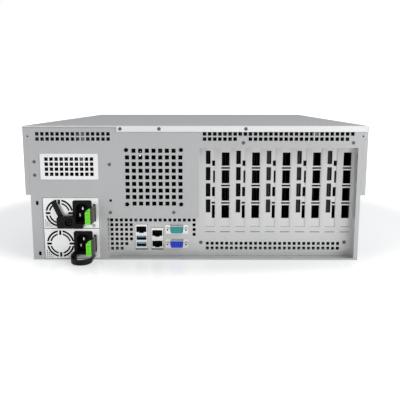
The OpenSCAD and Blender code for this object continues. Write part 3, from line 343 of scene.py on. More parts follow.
@dataclass
class Effects:
    """The node groups that several finishes share, each built once."""

    made: dict[str, bpy.types.NodeTree] = field(default_factory=dict)

    def _start(self, name: str, inputs: list[tuple[str, str, object]], outputs: list[tuple[str, str]]):
        """Makes an empty group with its sockets.

        Args:
            name: Name of the group.
            inputs: (name, socket type, default) of each input.
            outputs: (name, socket type) of each output.

        Returns:
            The group, its input node and its output node.
        """
        tree = bpy.data.node_groups.new(name, "ShaderNodeTree")
        for label, kind, default in inputs:
            socket = tree.interface.new_socket(label, in_out="INPUT", socket_type=kind)
            socket.default_value = default
        for label, kind in outputs:
            tree.interface.new_socket(label, in_out="OUTPUT", socket_type=kind)
        self.made[name] = tree
        return tree, tree.nodes.new("NodeGroupInput"), tree.nodes.new("NodeGroupOutput")

    def edge_wear(self) -> bpy.types.NodeTree:
        """Returns the group that lightens a finish along its folded and cut edges."""
        if "edge_wear" in self.made:
            return self.made["edge_wear"]
        tree, given, out = self._start(
            "edge_wear",
            [("Color", "NodeSocketColor", (0.5, 0.5, 0.5, 1)),
                ("Wear Color", "NodeSocketColor", (0.8, 0.8, 0.8, 1)),
             ("Amount", "NodeSocketFloat", 0.5), ("Radius", "NodeSocketFloat", 0.0006)],
            [("Color", "NodeSocketColor")],
        )
        rounded = tree.nodes.new("ShaderNodeBevel")
        rounded.samples = 4
        plain = tree.nodes.new("ShaderNodeNewGeometry")
        dot = tree.nodes.new("ShaderNodeVectorMath")
        dot.operation = "DOT_PRODUCT"
        ramp = tree.nodes.new("ShaderNodeMapRange")
        ramp.inputs["From Min"].default_value = 0.99
        ramp.inputs["From Max"].default_value = 0.80
        scale = tree.nodes.new("ShaderNodeMath")
        scale.operation = "MULTIPLY"
        mix = tree.nodes.new("ShaderNodeMix")
        mix.data_type = "RGBA"
        link = tree.links.new
        link(given.outputs["Radius"], rounded.inputs["Radius"])
        link(rounded.outputs["Normal"], dot.inputs[0])
        link(plain.outputs["Normal"], dot.inputs[1])
        link(dot.outputs["Value"], ramp.inputs["Value"])
        link(ramp.outputs["Result"], scale.inputs[0])
        link(given.outputs["Amount"], scale.inputs[1])
        link(scale.outputs["Value"], mix.inputs["Factor"])
        link(given.outputs["Color"], mix.inputs["A"])
        link(given.outputs["Wear Color"], mix.inputs["B"])
        link(mix.outputs["Result"], out.inputs["Color"])
        return tree

    def grain(self) -> bpy.types.NodeTree:
        """Returns the group that gives a surface its fine grain and slow colour drift."""
        if "grain" in self.made:
            return self.made["grain"]
        tree, given, out = self._start(
            "grain",
            [("Color", "NodeSocketColor", (0.5, 0.5, 0.5, 1)), ("Scale", "NodeSocketFloat", 900.0),
             ("Stretch", "NodeSocketVector", (1.0, 1.0, 1.0)), ("Drift", "NodeSocketFloat", 0.05),
             ("Roughness", "NodeSocketFloat", 0.4), ("Spread", "NodeSocketFloat", 0.1)],
            [("Color", "NodeSocketColor"), ("Roughness", "NodeSocketFloat"), ("Height", "NodeSocketFloat")],
        )
        place = tree.nodes.new("ShaderNodeTexCoord")
        stretch = tree.nodes.new("ShaderNodeVectorMath")
        stretch.operation = "MULTIPLY"
        fine = tree.nodes.new("ShaderNodeTexNoise")
        fine.inputs["Detail"].default_value = 3.0
        slow = tree.nodes.new("ShaderNodeTexNoise")
        slow.inputs["Scale"].default_value = 14.0
        slow.inputs["Detail"].default_value = 2.0
        light = tree.nodes.new("ShaderNodeMapRange")
        light.inputs["To Min"].default_value = -1.0
        light.inputs["To Max"].default_value = 1.0
        amount = tree.nodes.new("ShaderNodeMath")
        amount.operation = "MULTIPLY_ADD"
        amount.inputs[2].default_value = 1.0
        tint = tree.nodes.new("ShaderNodeVectorMath")
        tint.operation = "SCALE"
        centred = tree.nodes.new("ShaderNodeMath")
        centred.operation = "SUBTRACT"
        centred.inputs[1].default_value = 0.5
        rough = tree.nodes.new("ShaderNodeMath")
        rough.operation = "MULTIPLY_ADD"
        link = tree.links.new
        link(place.outputs["Object"], stretch.inputs[0])
        link(given.outputs["Stretch"], stretch.inputs[1])
        link(stretch.outputs["Vector"], fine.inputs["Vector"])
        link(given.outputs["Scale"], fine.inputs["Scale"])
        link(place.outputs["Object"], slow.inputs["Vector"])
        link(slow.outputs["Fac"], light.inputs["Value"])
        link(light.outputs["Result"], amount.inputs[0])
        link(given.outputs["Drift"], amount.inputs[1])
        link(given.outputs["Color"], tint.inputs["Vector"])
        link(amount.outputs["Value"], tint.inputs["Scale"])
        link(tint.outputs["Vector"], out.inputs["Color"])
        link(fine.outputs["Fac"], centred.inputs[0])
        link(centred.outputs["Value"], rough.inputs[0])
        link(given.outputs["Spread"], rough.inputs[1])
        link(given.outputs["Roughness"], rough.inputs[2])
        link(rough.outputs["Value"], out.inputs["Roughness"])
        link(fine.outputs["Fac"], out.inputs["Height"])
        return tree

    def traces(self) -> bpy.types.NodeTree:
        """Returns the group that draws copper tracks and vias under solder mask."""
        if "traces" in self.made:
            return self.made["traces"]
        tree, given, out = self._start(
            "traces",
            [("Mask Color", "NodeSocketColor", (0.02, 0.1, 0.05, 1)),
             ("Track Color", "NodeSocketColor", (0.04, 0.2, 0.09, 1)), ("Pitch", "NodeSocketFloat", 0.0025)],
            [("Color", "NodeSocketColor"), ("Height", "NodeSocketFloat")],
        )
        place = tree.nodes.new("ShaderNodeTexCoord")
        shrink = tree.nodes.new("ShaderNodeVectorMath")
        shrink.operation = "DIVIDE"
        bricks = tree.nodes.new("ShaderNodeTexBrick")
        bricks.inputs["Scale"].default_value = 1.0
        bricks.inputs["Color1"].default_value = (0, 0, 0, 1)
        bricks.inputs["Color2"].default_value = (0, 0, 0, 1)
        bricks.inputs["Mortar"].default_value = (1, 1, 1, 1)
        bricks.inputs["Mortar Size"].default_value = 0.06
        bricks.inputs["Brick Width"].default_value = 3.4
        bricks.inputs["Row Height"].default_value = 0.5
        mix = tree.nodes.new("ShaderNodeMix")
        mix.data_type = "RGBA"
        link = tree.links.new
        link(place.outputs["Object"], shrink.inputs[0])
        link(given.outputs["Pitch"], shrink.inputs[1])
        link(shrink.outputs["Vector"], bricks.inputs["Vector"])
        link(bricks.outputs["Color"], mix.inputs["Factor"])
        link(given.outputs["Mask Color"], mix.inputs["A"])
        link(given.outputs["Track Color"], mix.inputs["B"])
        link(mix.outputs["Result"], out.inputs["Color"])
        link(bricks.outputs["Color"], out.inputs["Height"])
        return tree


EFFECTS = Effects()


class Grain(Enum):
    """How a finish's fine grain runs: even, or drawn out along one axis."""

    EVEN = (1.0, 1.0, 1.0)
    ALONG_X = (0.03, 1.0, 1.0)
    ALONG_Y = (1.0, 0.03, 1.0)
    ALONG_Z = (1.0, 1.0, 0.03)


@dataclass(frozen=True)
class Finish:
    """A surface finish with grain, colour drift and worn edges."""

    name: str
    colour: Colour
    roughness: float = 0.4
    metallic: float = 0.0
    grain: Grain = Grain.EVEN
    grain_scale: float = 900.0
    drift: float = 0.05
    spread: float = 0.12
    bump: float = 0.08
    wear: float = 0.4
    wear_colour: Colour = (0.8, 0.8, 0.8)
    wear_radius: float = 0.0006
    specular: float = 0.5

    def material(self) -> bpy.types.Material:
        """Returns the finish's material, made on first use."""
        known = bpy.data.materials.get(self.name)
        if known:
            return known
        material = bpy.data.materials.new(self.name)
        material.use_nodes = True
        nodes, link = material.node_tree.nodes, material.node_tree.links.new
        shader = nodes["Principled BSDF"]
        shader.inputs["Metallic"].default_value = self.metallic
        shader.inputs["Specular IOR Level"].default_value = self.specular
        grain = nodes.new("ShaderNodeGroup")
        grain.node_tree = EFFECTS.grain()
        grain.inputs["Color"].default_value = (*self.colour, 1.0)
        grain.inputs["Scale"].default_value = self.grain_scale
        grain.inputs["Stretch"].default_value = self.grain.value
        grain.inputs["Drift"].default_value = self.drift
        grain.inputs["Roughness"].default_value = self.roughness
        grain.inputs["Spread"].default_value = self.spread
        wear = nodes.new("ShaderNodeGroup")
        wear.node_tree = EFFECTS.edge_wear()
        wear.inputs["Wear Color"].default_value = (*self.wear_colour, 1.0)
        wear.inputs["Amount"].default_value = self.wear
        wear.inputs["Radius"].default_value = self.wear_radius
        bump = nodes.new("ShaderNodeBump")
        bump.inputs["Strength"].default_value = self.bump
        bump.inputs["Distance"].default_value = 0.0004
        link(grain.outputs["Color"], wear.inputs["Color"])
        link(wear.outputs["Color"], shader.inputs["Base Color"])
        link(grain.outputs["Roughness"], shader.inputs["Roughness"])
        link(grain.outputs["Height"], bump.inputs["Height"])
        link(bump.outputs["Normal"], shader.inputs["Normal"])
        return material


@dataclass(frozen=True)
class BoardFinish:
    """A circuit board: solder mask over copper tracks."""

    name: str
    mask: Colour
    track: Colour
    pitch: float = 0.0025

    def material(self) -> bpy.types.Material:
        """Returns the board's material, made on first use."""
        known = bpy.data.materials.get(self.name)
        if known:
            return known
        material = bpy.data.materials.new(self.name)
        material.use_nodes = True
        nodes, link = material.node_tree.nodes, material.node_tree.links.new
        shader = nodes["Principled BSDF"]
        shader.inputs["Roughness"].default_value = 0.35
        traces = nodes.new("ShaderNodeGroup")
        traces.node_tree = EFFECTS.traces()
        traces.inputs["Mask Color"].default_value = (*self.mask, 1.0)
        traces.inputs["Track Color"].default_value = (*self.track, 1.0)
        traces.inputs["Pitch"].default_value = self.pitch
        bump = nodes.new("ShaderNodeBump")
        bump.inputs["Strength"].default_value = 0.15
        bump.inputs["Distance"].default_value = 0.0002
        link(traces.outputs["Color"], shader.inputs["Base Color"])
        link(traces.outputs["Height"], bump.inputs["Height"])
        link(bump.outputs["Normal"], shader.inputs["Normal"])
        return material


class Palette:
    """Every finish of the server, by the maker's word for it."""

    PANEL = Finish("silver_powder_coat", (0.47, 0.472, 0.475), 0.42, 0.35, grain_scale=1600.0, bump=0.10,
                   wear=0.55, wear_colour=(0.86, 0.86, 0.86))
    COVER = Finish("grey_cover_coat", (0.36, 0.365, 0.37), 0.5, 0.1, grain_scale=1800.0, bump=0.12,
                   wear=0.5, wear_colour=(0.7, 0.7, 0.7))
    # The cover's rear lip: the same grey cover sheet painted paler, a painted highlight where it faces the
    # lamps.
    COVER_EDGE_HIGHLIGHT = Finish("cover_edge_painted_highlight", (0.82, 0.82, 0.82), 0.42, 0.1, wear=0.3)
    ZINC = Finish("zinc_plated_sheet", (0.57, 0.57, 0.565), 0.34, 0.5, grain=Grain.ALONG_X,
                  grain_scale=1300.0, drift=0.08, bump=0.05, wear=0.5, wear_colour=(0.92, 0.92, 0.92))
    BRIGHT = Finish("bright_plated_sheet", (0.80, 0.80, 0.80), 0.3, 0.5, grain=Grain.ALONG_Z,
                    grain_scale=1400.0, bump=0.05, wear=0.5, wear_colour=(0.95, 0.95, 0.95))
    BRACKET = Finish("nickel_bracket", (0.55, 0.55, 0.54), 0.32, 0.75, grain=Grain.ALONG_Z,
                     grain_scale=1500.0, bump=0.05, wear=0.5)
    SCREW = Finish("dark_zinc_screw", (0.11, 0.11, 0.115), 0.42, 0.7, wear=0.3, wear_colour=(0.3, 0.3, 0.3))
    BLACK = Finish("moulded_black", (0.006, 0.006, 0.007), 0.5, 0.0, grain_scale=2400.0, bump=0.2,
                   wear=0.2, wear_colour=(0.05, 0.05, 0.05), specular=0.12)
    # Near black, darker than the moulded black and almost without sheen: painted shade. On the large fan bolt
    # heads it stands in for the shade in their round holes round the fan grille. On the rear fan it darkens
    # real black plastic further where the fan sits behind the grille.
    PAINTED_SHADE_BLACK = Finish("black_with_painted_shade", (0.0025, 0.0025, 0.003), 0.75, 0.0, grain_scale=2400.0, bump=0.1,
                  wear=0.1, wear_colour=(0.012, 0.012, 0.012), specular=0.03)
    CHARCOAL = Finish("moulded_charcoal", (0.03, 0.03, 0.033), 0.5, 0.0, grain_scale=2400.0, bump=0.2,
                      wear=0.25, wear_colour=(0.16, 0.16, 0.16))
    NYLON = Finish("black_nylon", (0.005, 0.005, 0.0055), 0.42, 0.0, grain_scale=2600.0, bump=0.15,
                   wear=0.25, wear_colour=(0.06, 0.06, 0.06), specular=0.14)
    GREEN = Finish("green_cap", (0.16, 0.78, 0.02), 0.35, 0.0, grain_scale=2000.0, bump=0.05,
                   wear=0.35, wear_colour=(0.45, 0.95, 0.25))
    LEVER = Finish("bronzed_lever", (0.06, 0.05, 0.045), 0.4, 0.6, wear=0.5, wear_colour=(0.4, 0.38, 0.36))
    TEAL = Finish("teal_insert", (0.01, 0.36, 0.38), 0.4, 0.0, wear=0.2)
    BLUE = Finish("blue_insert", (0.01, 0.05, 0.72), 0.4, 0.0, wear=0.2)
    USB_BLUE = Finish("pale_blue_tongue", (0.10, 0.36, 0.75), 0.4, 0.0, wear=0.2)
    NICKEL = Finish("nickel_shell", (0.62, 0.62, 0.60), 0.22, 1.0, wear=0.4)
    GOLD = Finish("gold_contact", (0.75, 0.52, 0.16), 0.25, 1.0, wear=0.2)
    FIN = Finish("plain_aluminium_fin", (0.70, 0.71, 0.72), 0.35, 0.9, grain=Grain.ALONG_Z, wear=0.5)
    SHROUD = Finish("black_shroud", (0.025, 0.025, 0.028), 0.4, 0.3, grain_scale=2000.0, bump=0.15,
                    wear=0.4, wear_colour=(0.18, 0.18, 0.18))
    TRAY = Finish("dark_grey_tray", (0.055, 0.058, 0.063), 0.45, 0.3, bump=0.15, wear=0.4,
                  wear_colour=(0.22, 0.22, 0.23))
    HANDLE = Finish("satin_bar", (0.72, 0.73, 0.74), 0.3, 0.9, grain=Grain.ALONG_Z, wear=0.4)
    WHITE = Finish("white_cap", (0.78, 0.78, 0.77), 0.35, 0.0, wear=0.2, wear_colour=(0.9, 0.9, 0.9))
    BRASS = Finish("turned_brass", (0.22, 0.15, 0.06), 0.45, 0.8, wear=0.2, wear_colour=(0.4, 0.3, 0.14))
    PORT_DARK = Finish("blackened_port_shell", (0.035, 0.034, 0.032), 0.4, 0.4, grain_scale=700.0, drift=0.5,
                       bump=0.2, wear=0.5, wear_colour=(0.22, 0.22, 0.2), specular=0.3)
    BLADE = Finish("nickel_blade", (0.72, 0.71, 0.68), 0.3, 0.9, wear=0.3)
    AMBER = Finish("amber_lens", (0.55, 0.45, 0.42), 0.2, 0.0, wear=0.0)
    BOARD = BoardFinish("green_board", (0.008, 0.05, 0.024), (0.02, 0.10, 0.05))
    DARK_BOARD = BoardFinish("dark_board", (0.012, 0.02, 0.018), (0.03, 0.045, 0.04))


# ---------------------------------------------------------------------------
# Sheet metal
# ---------------------------------------------------------------------------


def dress(node: str, finish: Finish | BoardFinish) -> None:
    """Gives a CAD node a finish.

    Args:
        node: Name of the node.
        finish: The finish that it gets.
    """
    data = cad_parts[node].data
    data.materials.clear()
    data.materials.append(finish.material())
    LOG.info("%s dressed in %s", node, finish.name)


@dataclass
class SheetMetal:
    """The folded and punched sheets, which keep their CAD shapes."""

    finishes: dict[str, Finish] = field(default_factory=lambda: {
        "chassis_shell": Palette.PANEL, "rear_panel": Palette.PANEL, "slot_bulkhead": Palette.ZINC,
        "vent_plate": Palette.BRIGHT, "psu_cage": Palette.ZINC, "fan_wall": Palette.ZINC,
        "drive_cage": Palette.ZINC, "front_panel": Palette.PANEL, "ear_left": Palette.PANEL,
        "ear_right": Palette.PANEL, "front_handles": Palette.HANDLE, "gpu_brackets": Palette.BRACKET,
        "board_standoffs": Palette.BRASS, "power_button": Palette.WHITE, "reset_button": Palette.WHITE,
        "psu_1_case": Palette.BRIGHT, "psu_2_case": Palette.BRIGHT, "card_sockets": Palette.BLACK,
    })

    def build(self) -> None:
        """Dresses every sheet that keeps its CAD shape."""
        for node, finish in self.finishes.items():
            dress(node, finish)
        self.dress_cover()

    def dress_cover(self) -> None:
        """Gives the cover its grey top, and its rear lip a paler colour: a painted highlight on the same
        sheet where the lip faces the lamps.
        """
        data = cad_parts["top_cover"].data
        data.materials.clear()
        data.materials.append(Palette.COVER.material())
        data.materials.append(Palette.COVER_EDGE_HIGHLIGHT.material())
        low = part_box("top_cover")[0]
        for polygon in data.polygons:
            # Painted highlight: the rear-facing faces of the lip take the pale colour, and the rest of the
            # same sheet keeps the grey.
            on_lip = polygon.center.y < low.y + 1.5 * MM and polygon.normal.z < 0.5
            polygon.material_index = 1 if on_lip else 0
        LOG.info("top_cover dressed in two finishes")


@dataclass
class Fasteners:
    """The cross-recessed screws of the cover and the rear panel."""

    recess_mm: float = 1.25
    recess_w_mm: float = 0.55
    shank_r_mm: float = 1.2
    fan_bolt_r_mm: float = 2.6
    head_t_mm: dict[float, float] = field(default_factory=lambda: {2.3: 0.5, 2.2: 0.6, 2.7: 1.0, 2.4: 0.8})
    plain_head_t_mm: float = 0.6

    def head(self, solid: Solid, centre: Point2, y_out: float, y_in: float, radius: float) -> None:
        """Adds one domed screw head with a cross recess.

        Args:
            solid: Mesh that it is added to.
            centre: Middle of the head in X and Z.
            y_out: Its outer face.
            y_in: Its seat.
            radius: Its radius.
        """
        arm = min(self.recess_mm * MM, 0.6 * radius)
        ring = circle(centre, radius * 0.82, 20)
        solid.plate([ring, cross(centre, arm, self.recess_w_mm * MM)], y_out, y_out + 0.4 * (y_in - y_out))
        middle = Vector((centre[0], 0.0, centre[1]))
        mid_y = y_out + 0.35 * (y_in - y_out)
        solid.lathe([(0.0, mid_y), (radius * 0.8, mid_y), (radius * 0.86, y_out + 0.02 * MM),
                     (radius, y_out + 0.45 * (y_in - y_out)), (radius, y_in), (0.0,
                         y_in)], middle, segments=20)

    def islands(self, node: str) -> list[tuple[Vector, Vector]]:
        """Returns the box of each separate solid in a node.

        Args:
            node: Name of the node.
        """
        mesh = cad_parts[node].data
        bm = bmesh.new()
        bm.from_mesh(mesh)
        bmesh.ops.remove_doubles(bm, verts=bm.verts, dist=1e-6)
        left = set(bm.verts)
        boxes = []
        while left:
            todo = [left.pop()]
            seen = list(todo)
            while todo:
                for edge in todo.pop().link_edges:
                    for vert in edge.verts:
                        if vert in left:
                            left.discard(vert)
                            todo.append(vert)
                            seen.append(vert)
            boxes.append((
                Vector([min(v.co[k] for v in seen) for k in range(3)]),
                Vector([max(v.co[k] for v in seen) for k in range(3)]),
            ))
        bm.free()
        return boxes

    def build(self) -> None:
        """Builds the screws of the cover and of the panels."""
        for node, body, dark in (("cover_screws", "top_cover", False), ("chassis_screws", "chassis", True)):
            solid = Solid()
            for low, high in self.islands(node):
                radius = (high.x - low.x) / 2
                centre = ((low.x + high.x) / 2, (low.z + high.z) / 2)
                head_t = self.head_t_mm.get(round(radius / MM, 1), self.plain_head_t_mm) * MM
                first = len(solid.bm.faces)
                self.head(solid, centre, low.y, low.y + head_t, radius)
                shank = self.shank_r_mm * MM
                solid.lathe([(shank, low.y + head_t), (shank, high.y), (0.0, high.y)],
                            Vector((centre[0], 0.0, centre[1])), segments=12)
                # Painted shade: the large fan bolt heads take the near-black finish, standing in for the
                # shade of the round holes they sit in.
                if dark and radius > self.fan_bolt_r_mm * MM:
                    solid.bm.faces.ensure_lookup_table()
                    for face in solid.bm.faces[first:]:
                        face.material_index = 1
            solid.finish(f"{node}_cross_heads", [Palette.SCREW.material(), Palette.PAINTED_SHADE_BLACK.material()],
                         body, "screw_steel", node)


# ---------------------------------------------------------------------------
# Power supplies
# ---------------------------------------------------------------------------


@dataclass
class Inlet:
    """An upright three-blade inlet socket with its moulded flange."""

    number: int
    cavity_w_mm: float = 16.4
    cavity_h_mm: float = 24.4
    bevel_mm: float = 4.2
    flange_mm: float = 2.6

    def cavity(self, centre: Point2, grow: float = 0.0) -> Outline:
        """Returns the cavity's outline, with its two upper corners bevelled.

        Args:
            centre: Middle of the socket.
            grow: How far the outline stands out from the cavity.
        """
        half_w, half_h = self.cavity_w_mm * MM / 2 + grow, self.cavity_h_mm * MM / 2 + grow
        cut = self.bevel_mm * MM
        return [(centre[0] + x, centre[1] + z) for x, z in (
            (-half_w, -half_h), (half_w, -half_h), (half_w, half_h - cut),
            (half_w - cut, half_h), (-half_w + cut, half_h), (-half_w, half_h - cut),
        )]

    def build(self) -> None:
        """Builds the socket in place of its CAD node."""
        node = f"psu_{self.number}_inlet"
        low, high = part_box(node)
        centre = ((low.x + high.x) / 2, (low.z + high.z) / 2)
        front = low.y
        solid = Solid()
        outer = rectangle((low.x, low.z), (high.x, high.z), 2.4 * MM)
        mid = rectangle((low.x + 1.2 * MM, low.z + 1.2 * MM), (high.x - 1.2 * MM, high.z - 1.2 * MM), 2 * MM)
        solid.plate([outer, self.cavity(centre, 1.3 * MM)], front + 0.8 * MM, front + self.flange_mm * MM,
                    bevel=0.25 * MM)
        solid.plate([mid, self.cavity(centre, 0.2 * MM)], front, front + 0.9 * MM, bevel=0.2 * MM)
        solid.plate([self.cavity(centre, 1.2 * MM), self.cavity(centre)], front + 0.3 * MM, front + 15 * MM)
        solid.plate([self.cavity(centre, 1.2 * MM)], front + 14.6 * MM, front + 20 * MM)
        for x, z in ((0.0, 4.6), (-4.2, -4.4), (4.2, -4.4)):
            cx, cz = centre[0] + x * MM, centre[1] + z * MM
            solid.box(Vector((cx - 1 * MM, front + 6 * MM, cz - 2 * MM)),
                      Vector((cx + 1 * MM, front + 15 * MM, cz + 2 * MM)), 1, 0.35 * MM)
        solid.finish(f"{node}_socket", [Palette.BLACK.material(), Palette.BLADE.material()],
                     f"psu_{self.number}", "inlet_black", node)


@dataclass
class ReleaseLatch:
    """A supply's green release lever with its ribbed pressing cap."""

    number: int
    cap_w_mm: float = 9.0
    cap_t_mm: float = 4.0
    strip_mm: float = 1.0
    cut_mm: float = 4.4
    drop_mm: float = 1.5
    inset_mm: float = 1.6

    def build(self) -> None:
        """Builds the lever in place of its CAD node."""
        node = f"psu_{self.number}_latch"
        low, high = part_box(node)
        right = high.x - 1.4 * MM
        strip = right - self.strip_mm * MM
        left, cut = low.x + self.inset_mm * MM, self.cut_mm * MM
        edge = strip - self.inset_mm * MM / 2
        solid = Solid()
        top = high.z - self.drop_mm * MM
        cap = [(left, low.z), (edge, low.z), (edge, top), (left + cut, top), (left, top - cut)]
        solid.plate([cap], low.y + self.cap_t_mm * MM, low.y, bevel=0.6 * MM)
        for k in range(4):
            z = low.z + (3.2 + 4.6 * k) * MM
            solid.box(Vector((left + 1.4 * MM, low.y, z)),
                      Vector((edge - 1.2 * MM, low.y + 0.5 * MM, z + 1.2 * MM)), 0, 0.2 * MM)
        solid.box(Vector((strip, low.y + 0.5 * MM, low.z + 0.3 * MM)),
                  Vector((right, high.y - 2 * MM, high.z - 0.3 * MM)), 1, 0.2 * MM)
        for k in range(3):
            z = low.z + (3 + 7 * k) * MM
            solid.box(Vector((left + 1 * MM, low.y + self.cap_t_mm * MM - 0.3 * MM, z)),
                      Vector((strip + 0.2 * MM, low.y + 2 * self.cap_t_mm * MM, z + 1.2 * MM)), 1, 0.15 * MM)
        barrel = Vector((right - 0.5 * MM, high.y - 1.9 * MM, 0.0))
        solid.plate([circle((barrel.x, barrel.y), 1.9 * MM, 20), circle((barrel.x, barrel.y), 1.1 * MM, 20)],
                    low.z, high.z, Axis.Z, finish=1)
        solid.finish(f"{node}_lever", [Palette.GREEN.material(), Palette.LEVER.material()],
            f"psu_{self.number}_latch",
                     "latch_green", node)


@dataclass
class UpperStrap:
    """The upper supply's cord strap: a buckle beside the inlet and a notched tail."""

    tail_lean_deg: float = 24.0
    tail_l_mm: float = 24.5
    tail_w_mm: float = 6.9
    buckle_w_mm: float = 25.0
    buckle_h_mm: float = 16.4
    buckle_t_mm: float = 7.0
    hang_mm: float = 2.4
    bore_r_mm: float = 5.2
    foot_w_mm: float = 9.5
    notches: int = 8

    def build(self) -> None:
        """Builds the strap in place of its CAD node."""
        node = "psu_1_strap"
        low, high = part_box(node)
        right = high.x
        left = right - self.buckle_w_mm * MM
        bottom = low.z - self.hang_mm * MM
        top = bottom + self.buckle_h_mm * MM
        front = low.y
        back = front + self.buckle_t_mm * MM
        solid = Solid()
        mid = (right + left) / 2
        bore = (mid + 3.4 * MM, (bottom + top) / 2)
        outer = rectangle((left, bottom), (right, top), 4 * MM, 5)
        solid.plate([outer, circle(bore, self.bore_r_mm * MM, 28)], back - 1 * MM, front, bevel=0.9 * MM)
        solid.plate([rectangle((left + 0.8 * MM, bottom + 0.8 * MM), (right - 0.8 * MM, top - 0.8 * MM),
            3 * MM)],
                    back, back - 1.6 * MM)
        solid.plate([rectangle((right - 3 * MM, bottom - 0.4 * MM),
            (right + self.foot_w_mm * MM, bottom + 6.4 * MM), 2 * MM)],
                    back - 1 * MM, front + 1 * MM, bevel=0.8 * MM)
        solid.plate([circle(bore, 3.2 * MM, 24), circle(bore, 1.6 * MM, 24)], back - 1.2 * MM,
            front + 2.2 * MM,
                    bevel=0.4 * MM)
        solid.box(Vector((left + 1.2 * MM, front - 0.9 * MM, bottom + 3.4 * MM)),
                  Vector((left + 4.6 * MM, front + 1.0 * MM, top - 3.4 * MM)), 0, 0.5 * MM)
        solid.box(Vector((mid - 8 * MM, back - 0.3 * MM, bottom + 4.5 * MM)),
                  Vector((mid - 2 * MM, high.y, top - 4.5 * MM)), 0, 0.3 * MM)
        lean = math.radians(self.tail_lean_deg)
        along = Vector((-math.sin(lean), 0.0, math.cos(lean)))
        side = Vector((math.cos(lean), 0.0, math.sin(lean)))
        root = Vector((mid - 6.6 * MM, back - 1.9 * MM, (bottom + top) / 2 + 5 * MM))
        length = self.tail_l_mm * MM
        path = []
        for k in range(13):
            t = k / 12
            sag = 0.9 * MM * math.sin(math.pi * t)
            path.append(root + along * length * t + Vector((0.0, -sag, 0.0)))
        solid.sweep(path, self.tail_w_mm * MM, 1.4 * MM, side)
        for k in range(self.notches):
            at = root + along * (length * (0.14 + 0.105 * k))
            sag = 0.9 * MM * math.sin(math.pi * (0.14 + 0.105 * k))
            at = at + Vector((0.0, -sag - 0.55 * MM, 0.0))
            solid.sweep([at - along * 0.45 * MM, at + along * 0.45 * MM], self.tail_w_mm * 0.62 * MM,
                0.7 * MM, side)
        solid.finish(f"{node}_buckle_and_tail", [Palette.NYLON.material()], "psu_1", "strap_black", node)


@dataclass
class LowerStrap:
    """The lower supply's cord strap, looped through its buckle and standing out."""

    loop_r_mm: float = 13.4
    out_mm: float = 20.0
    tilt_deg: float = 6.4
    width_mm: float = 7.6

    def build(self) -> None:
        """Builds the strap in place of its CAD node."""
        node = "psu_2_strap"
        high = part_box(node)[1]
        radius = self.loop_r_mm * MM
        centre = high.x - 0.8 * MM - radius
        face = high.y
        tilt = math.radians(self.tilt_deg)
        axis_z = high.z - self.width_mm * MM / 2 - 0.4 * MM
        turn = Matrix.Rotation(tilt, 4, "X")
        origin = Vector((centre, face, axis_z))
        points = [Vector((radius, -self.out_mm * MM * t, 0.0)) for t in (0.0, 0.35, 0.7)]
        for k in range(19):
            angle = math.pi * k / 18
            points.append(Vector((radius * math.cos(angle), -self.out_mm * MM - radius * math.sin(angle),
                0.0)))
        points += [Vector((-radius, -self.out_mm * MM * t, 0.0)) for t in (0.7, 0.35, 0.0)]
        path = [origin + turn @ p for p in points]
        across = turn @ Vector((0.0, 0.0, 1.0))
        solid = Solid()
        solid.sweep(path, self.width_mm * MM, 1.4 * MM, across)
        for k in range(5, len(path) - 4):
            middle = path[k]
            ahead = (path[k + 1] - path[k - 1]).normalized()
            outward = ahead.cross(across).normalized()
            at = middle + outward * 0.55 * MM
            solid.sweep([at - ahead * 0.5 * MM, at + ahead * 0.5 * MM], self.width_mm * 0.6 * MM,
                0.7 * MM, across)
        buckle = Solid()
        solid_low = Vector((-radius - 1.6 * MM, -self.out_mm * MM + 2 * MM, -self.width_mm * MM / 2 - 1 * MM))
        buckle.box(solid_low, solid_low + Vector((7 * MM, 9 * MM, (self.width_mm + 2) * MM)), 0, 0.9 * MM)
        buckle.box(solid_low + Vector((1.2 * MM, 2.2 * MM, (self.width_mm + 1.4) * MM)),
                   solid_low + Vector((5.8 * MM, 6.8 * MM, (self.width_mm + 2.9) * MM)), 0, 0.5 * MM)
        for vert in buckle.bm.verts:
            vert.co = origin + turn @ vert.co
        buckle.finish(f"{node}_buckle", [Palette.NYLON.material()], "psu_2", "strap_black")
        solid.finish(f"{node}_loop", [Palette.NYLON.material()], "psu_2", "strap_black", node)


@dataclass
class PowerSupply:
    """What stands on the face of one supply beside its plated case."""

    number: int
    lamp_in_mm: float = 6.9
    lamp_up_mm: float = 3.4
    flange_mm: float = 2.6

    def lamp(self) -> None:
        """Builds the round status lamp in its black ring."""
        inlet_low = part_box(f"psu_{self.number}_inlet")[0]
        case_low, case_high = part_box(f"psu_{self.number}_case")
        face = inlet_low.y + self.flange_mm * MM
        centre = Vector((case_high.x - self.lamp_in_mm * MM, 0.0, case_low.z + self.lamp_up_mm * MM))
        solid = Solid()
        solid.lathe([(1.3 * MM, face - 0.2 * MM), (1.5 * MM, face - 0.6 * MM), (2.1 * MM, face - 0.6 * MM),
                     (2.4 * MM, face - 0.35 * MM), (2.4 * MM, face)], centre, segments=28)
        solid.lathe([(0.0, face - 0.55 * MM), (0.7 * MM, face - 0.5 * MM), (1.3 * MM, face - 0.15 * MM)],
                    centre, segments=24, finish=1)
        solid.finish(f"psu_{self.number}_lamp", [Palette.BLACK.material(), Palette.AMBER.material()],
                     f"psu_{self.number}", "inlet_black")

    def build(self) -> None:
        """Builds everything that stands on the supply's face."""
        Inlet(self.number).build()
        ReleaseLatch(self.number).build()
        self.lamp()
        (UpperStrap() if self.number == 1 else LowerStrap()).build()


# ---------------------------------------------------------------------------
# Ports
# ---------------------------------------------------------------------------


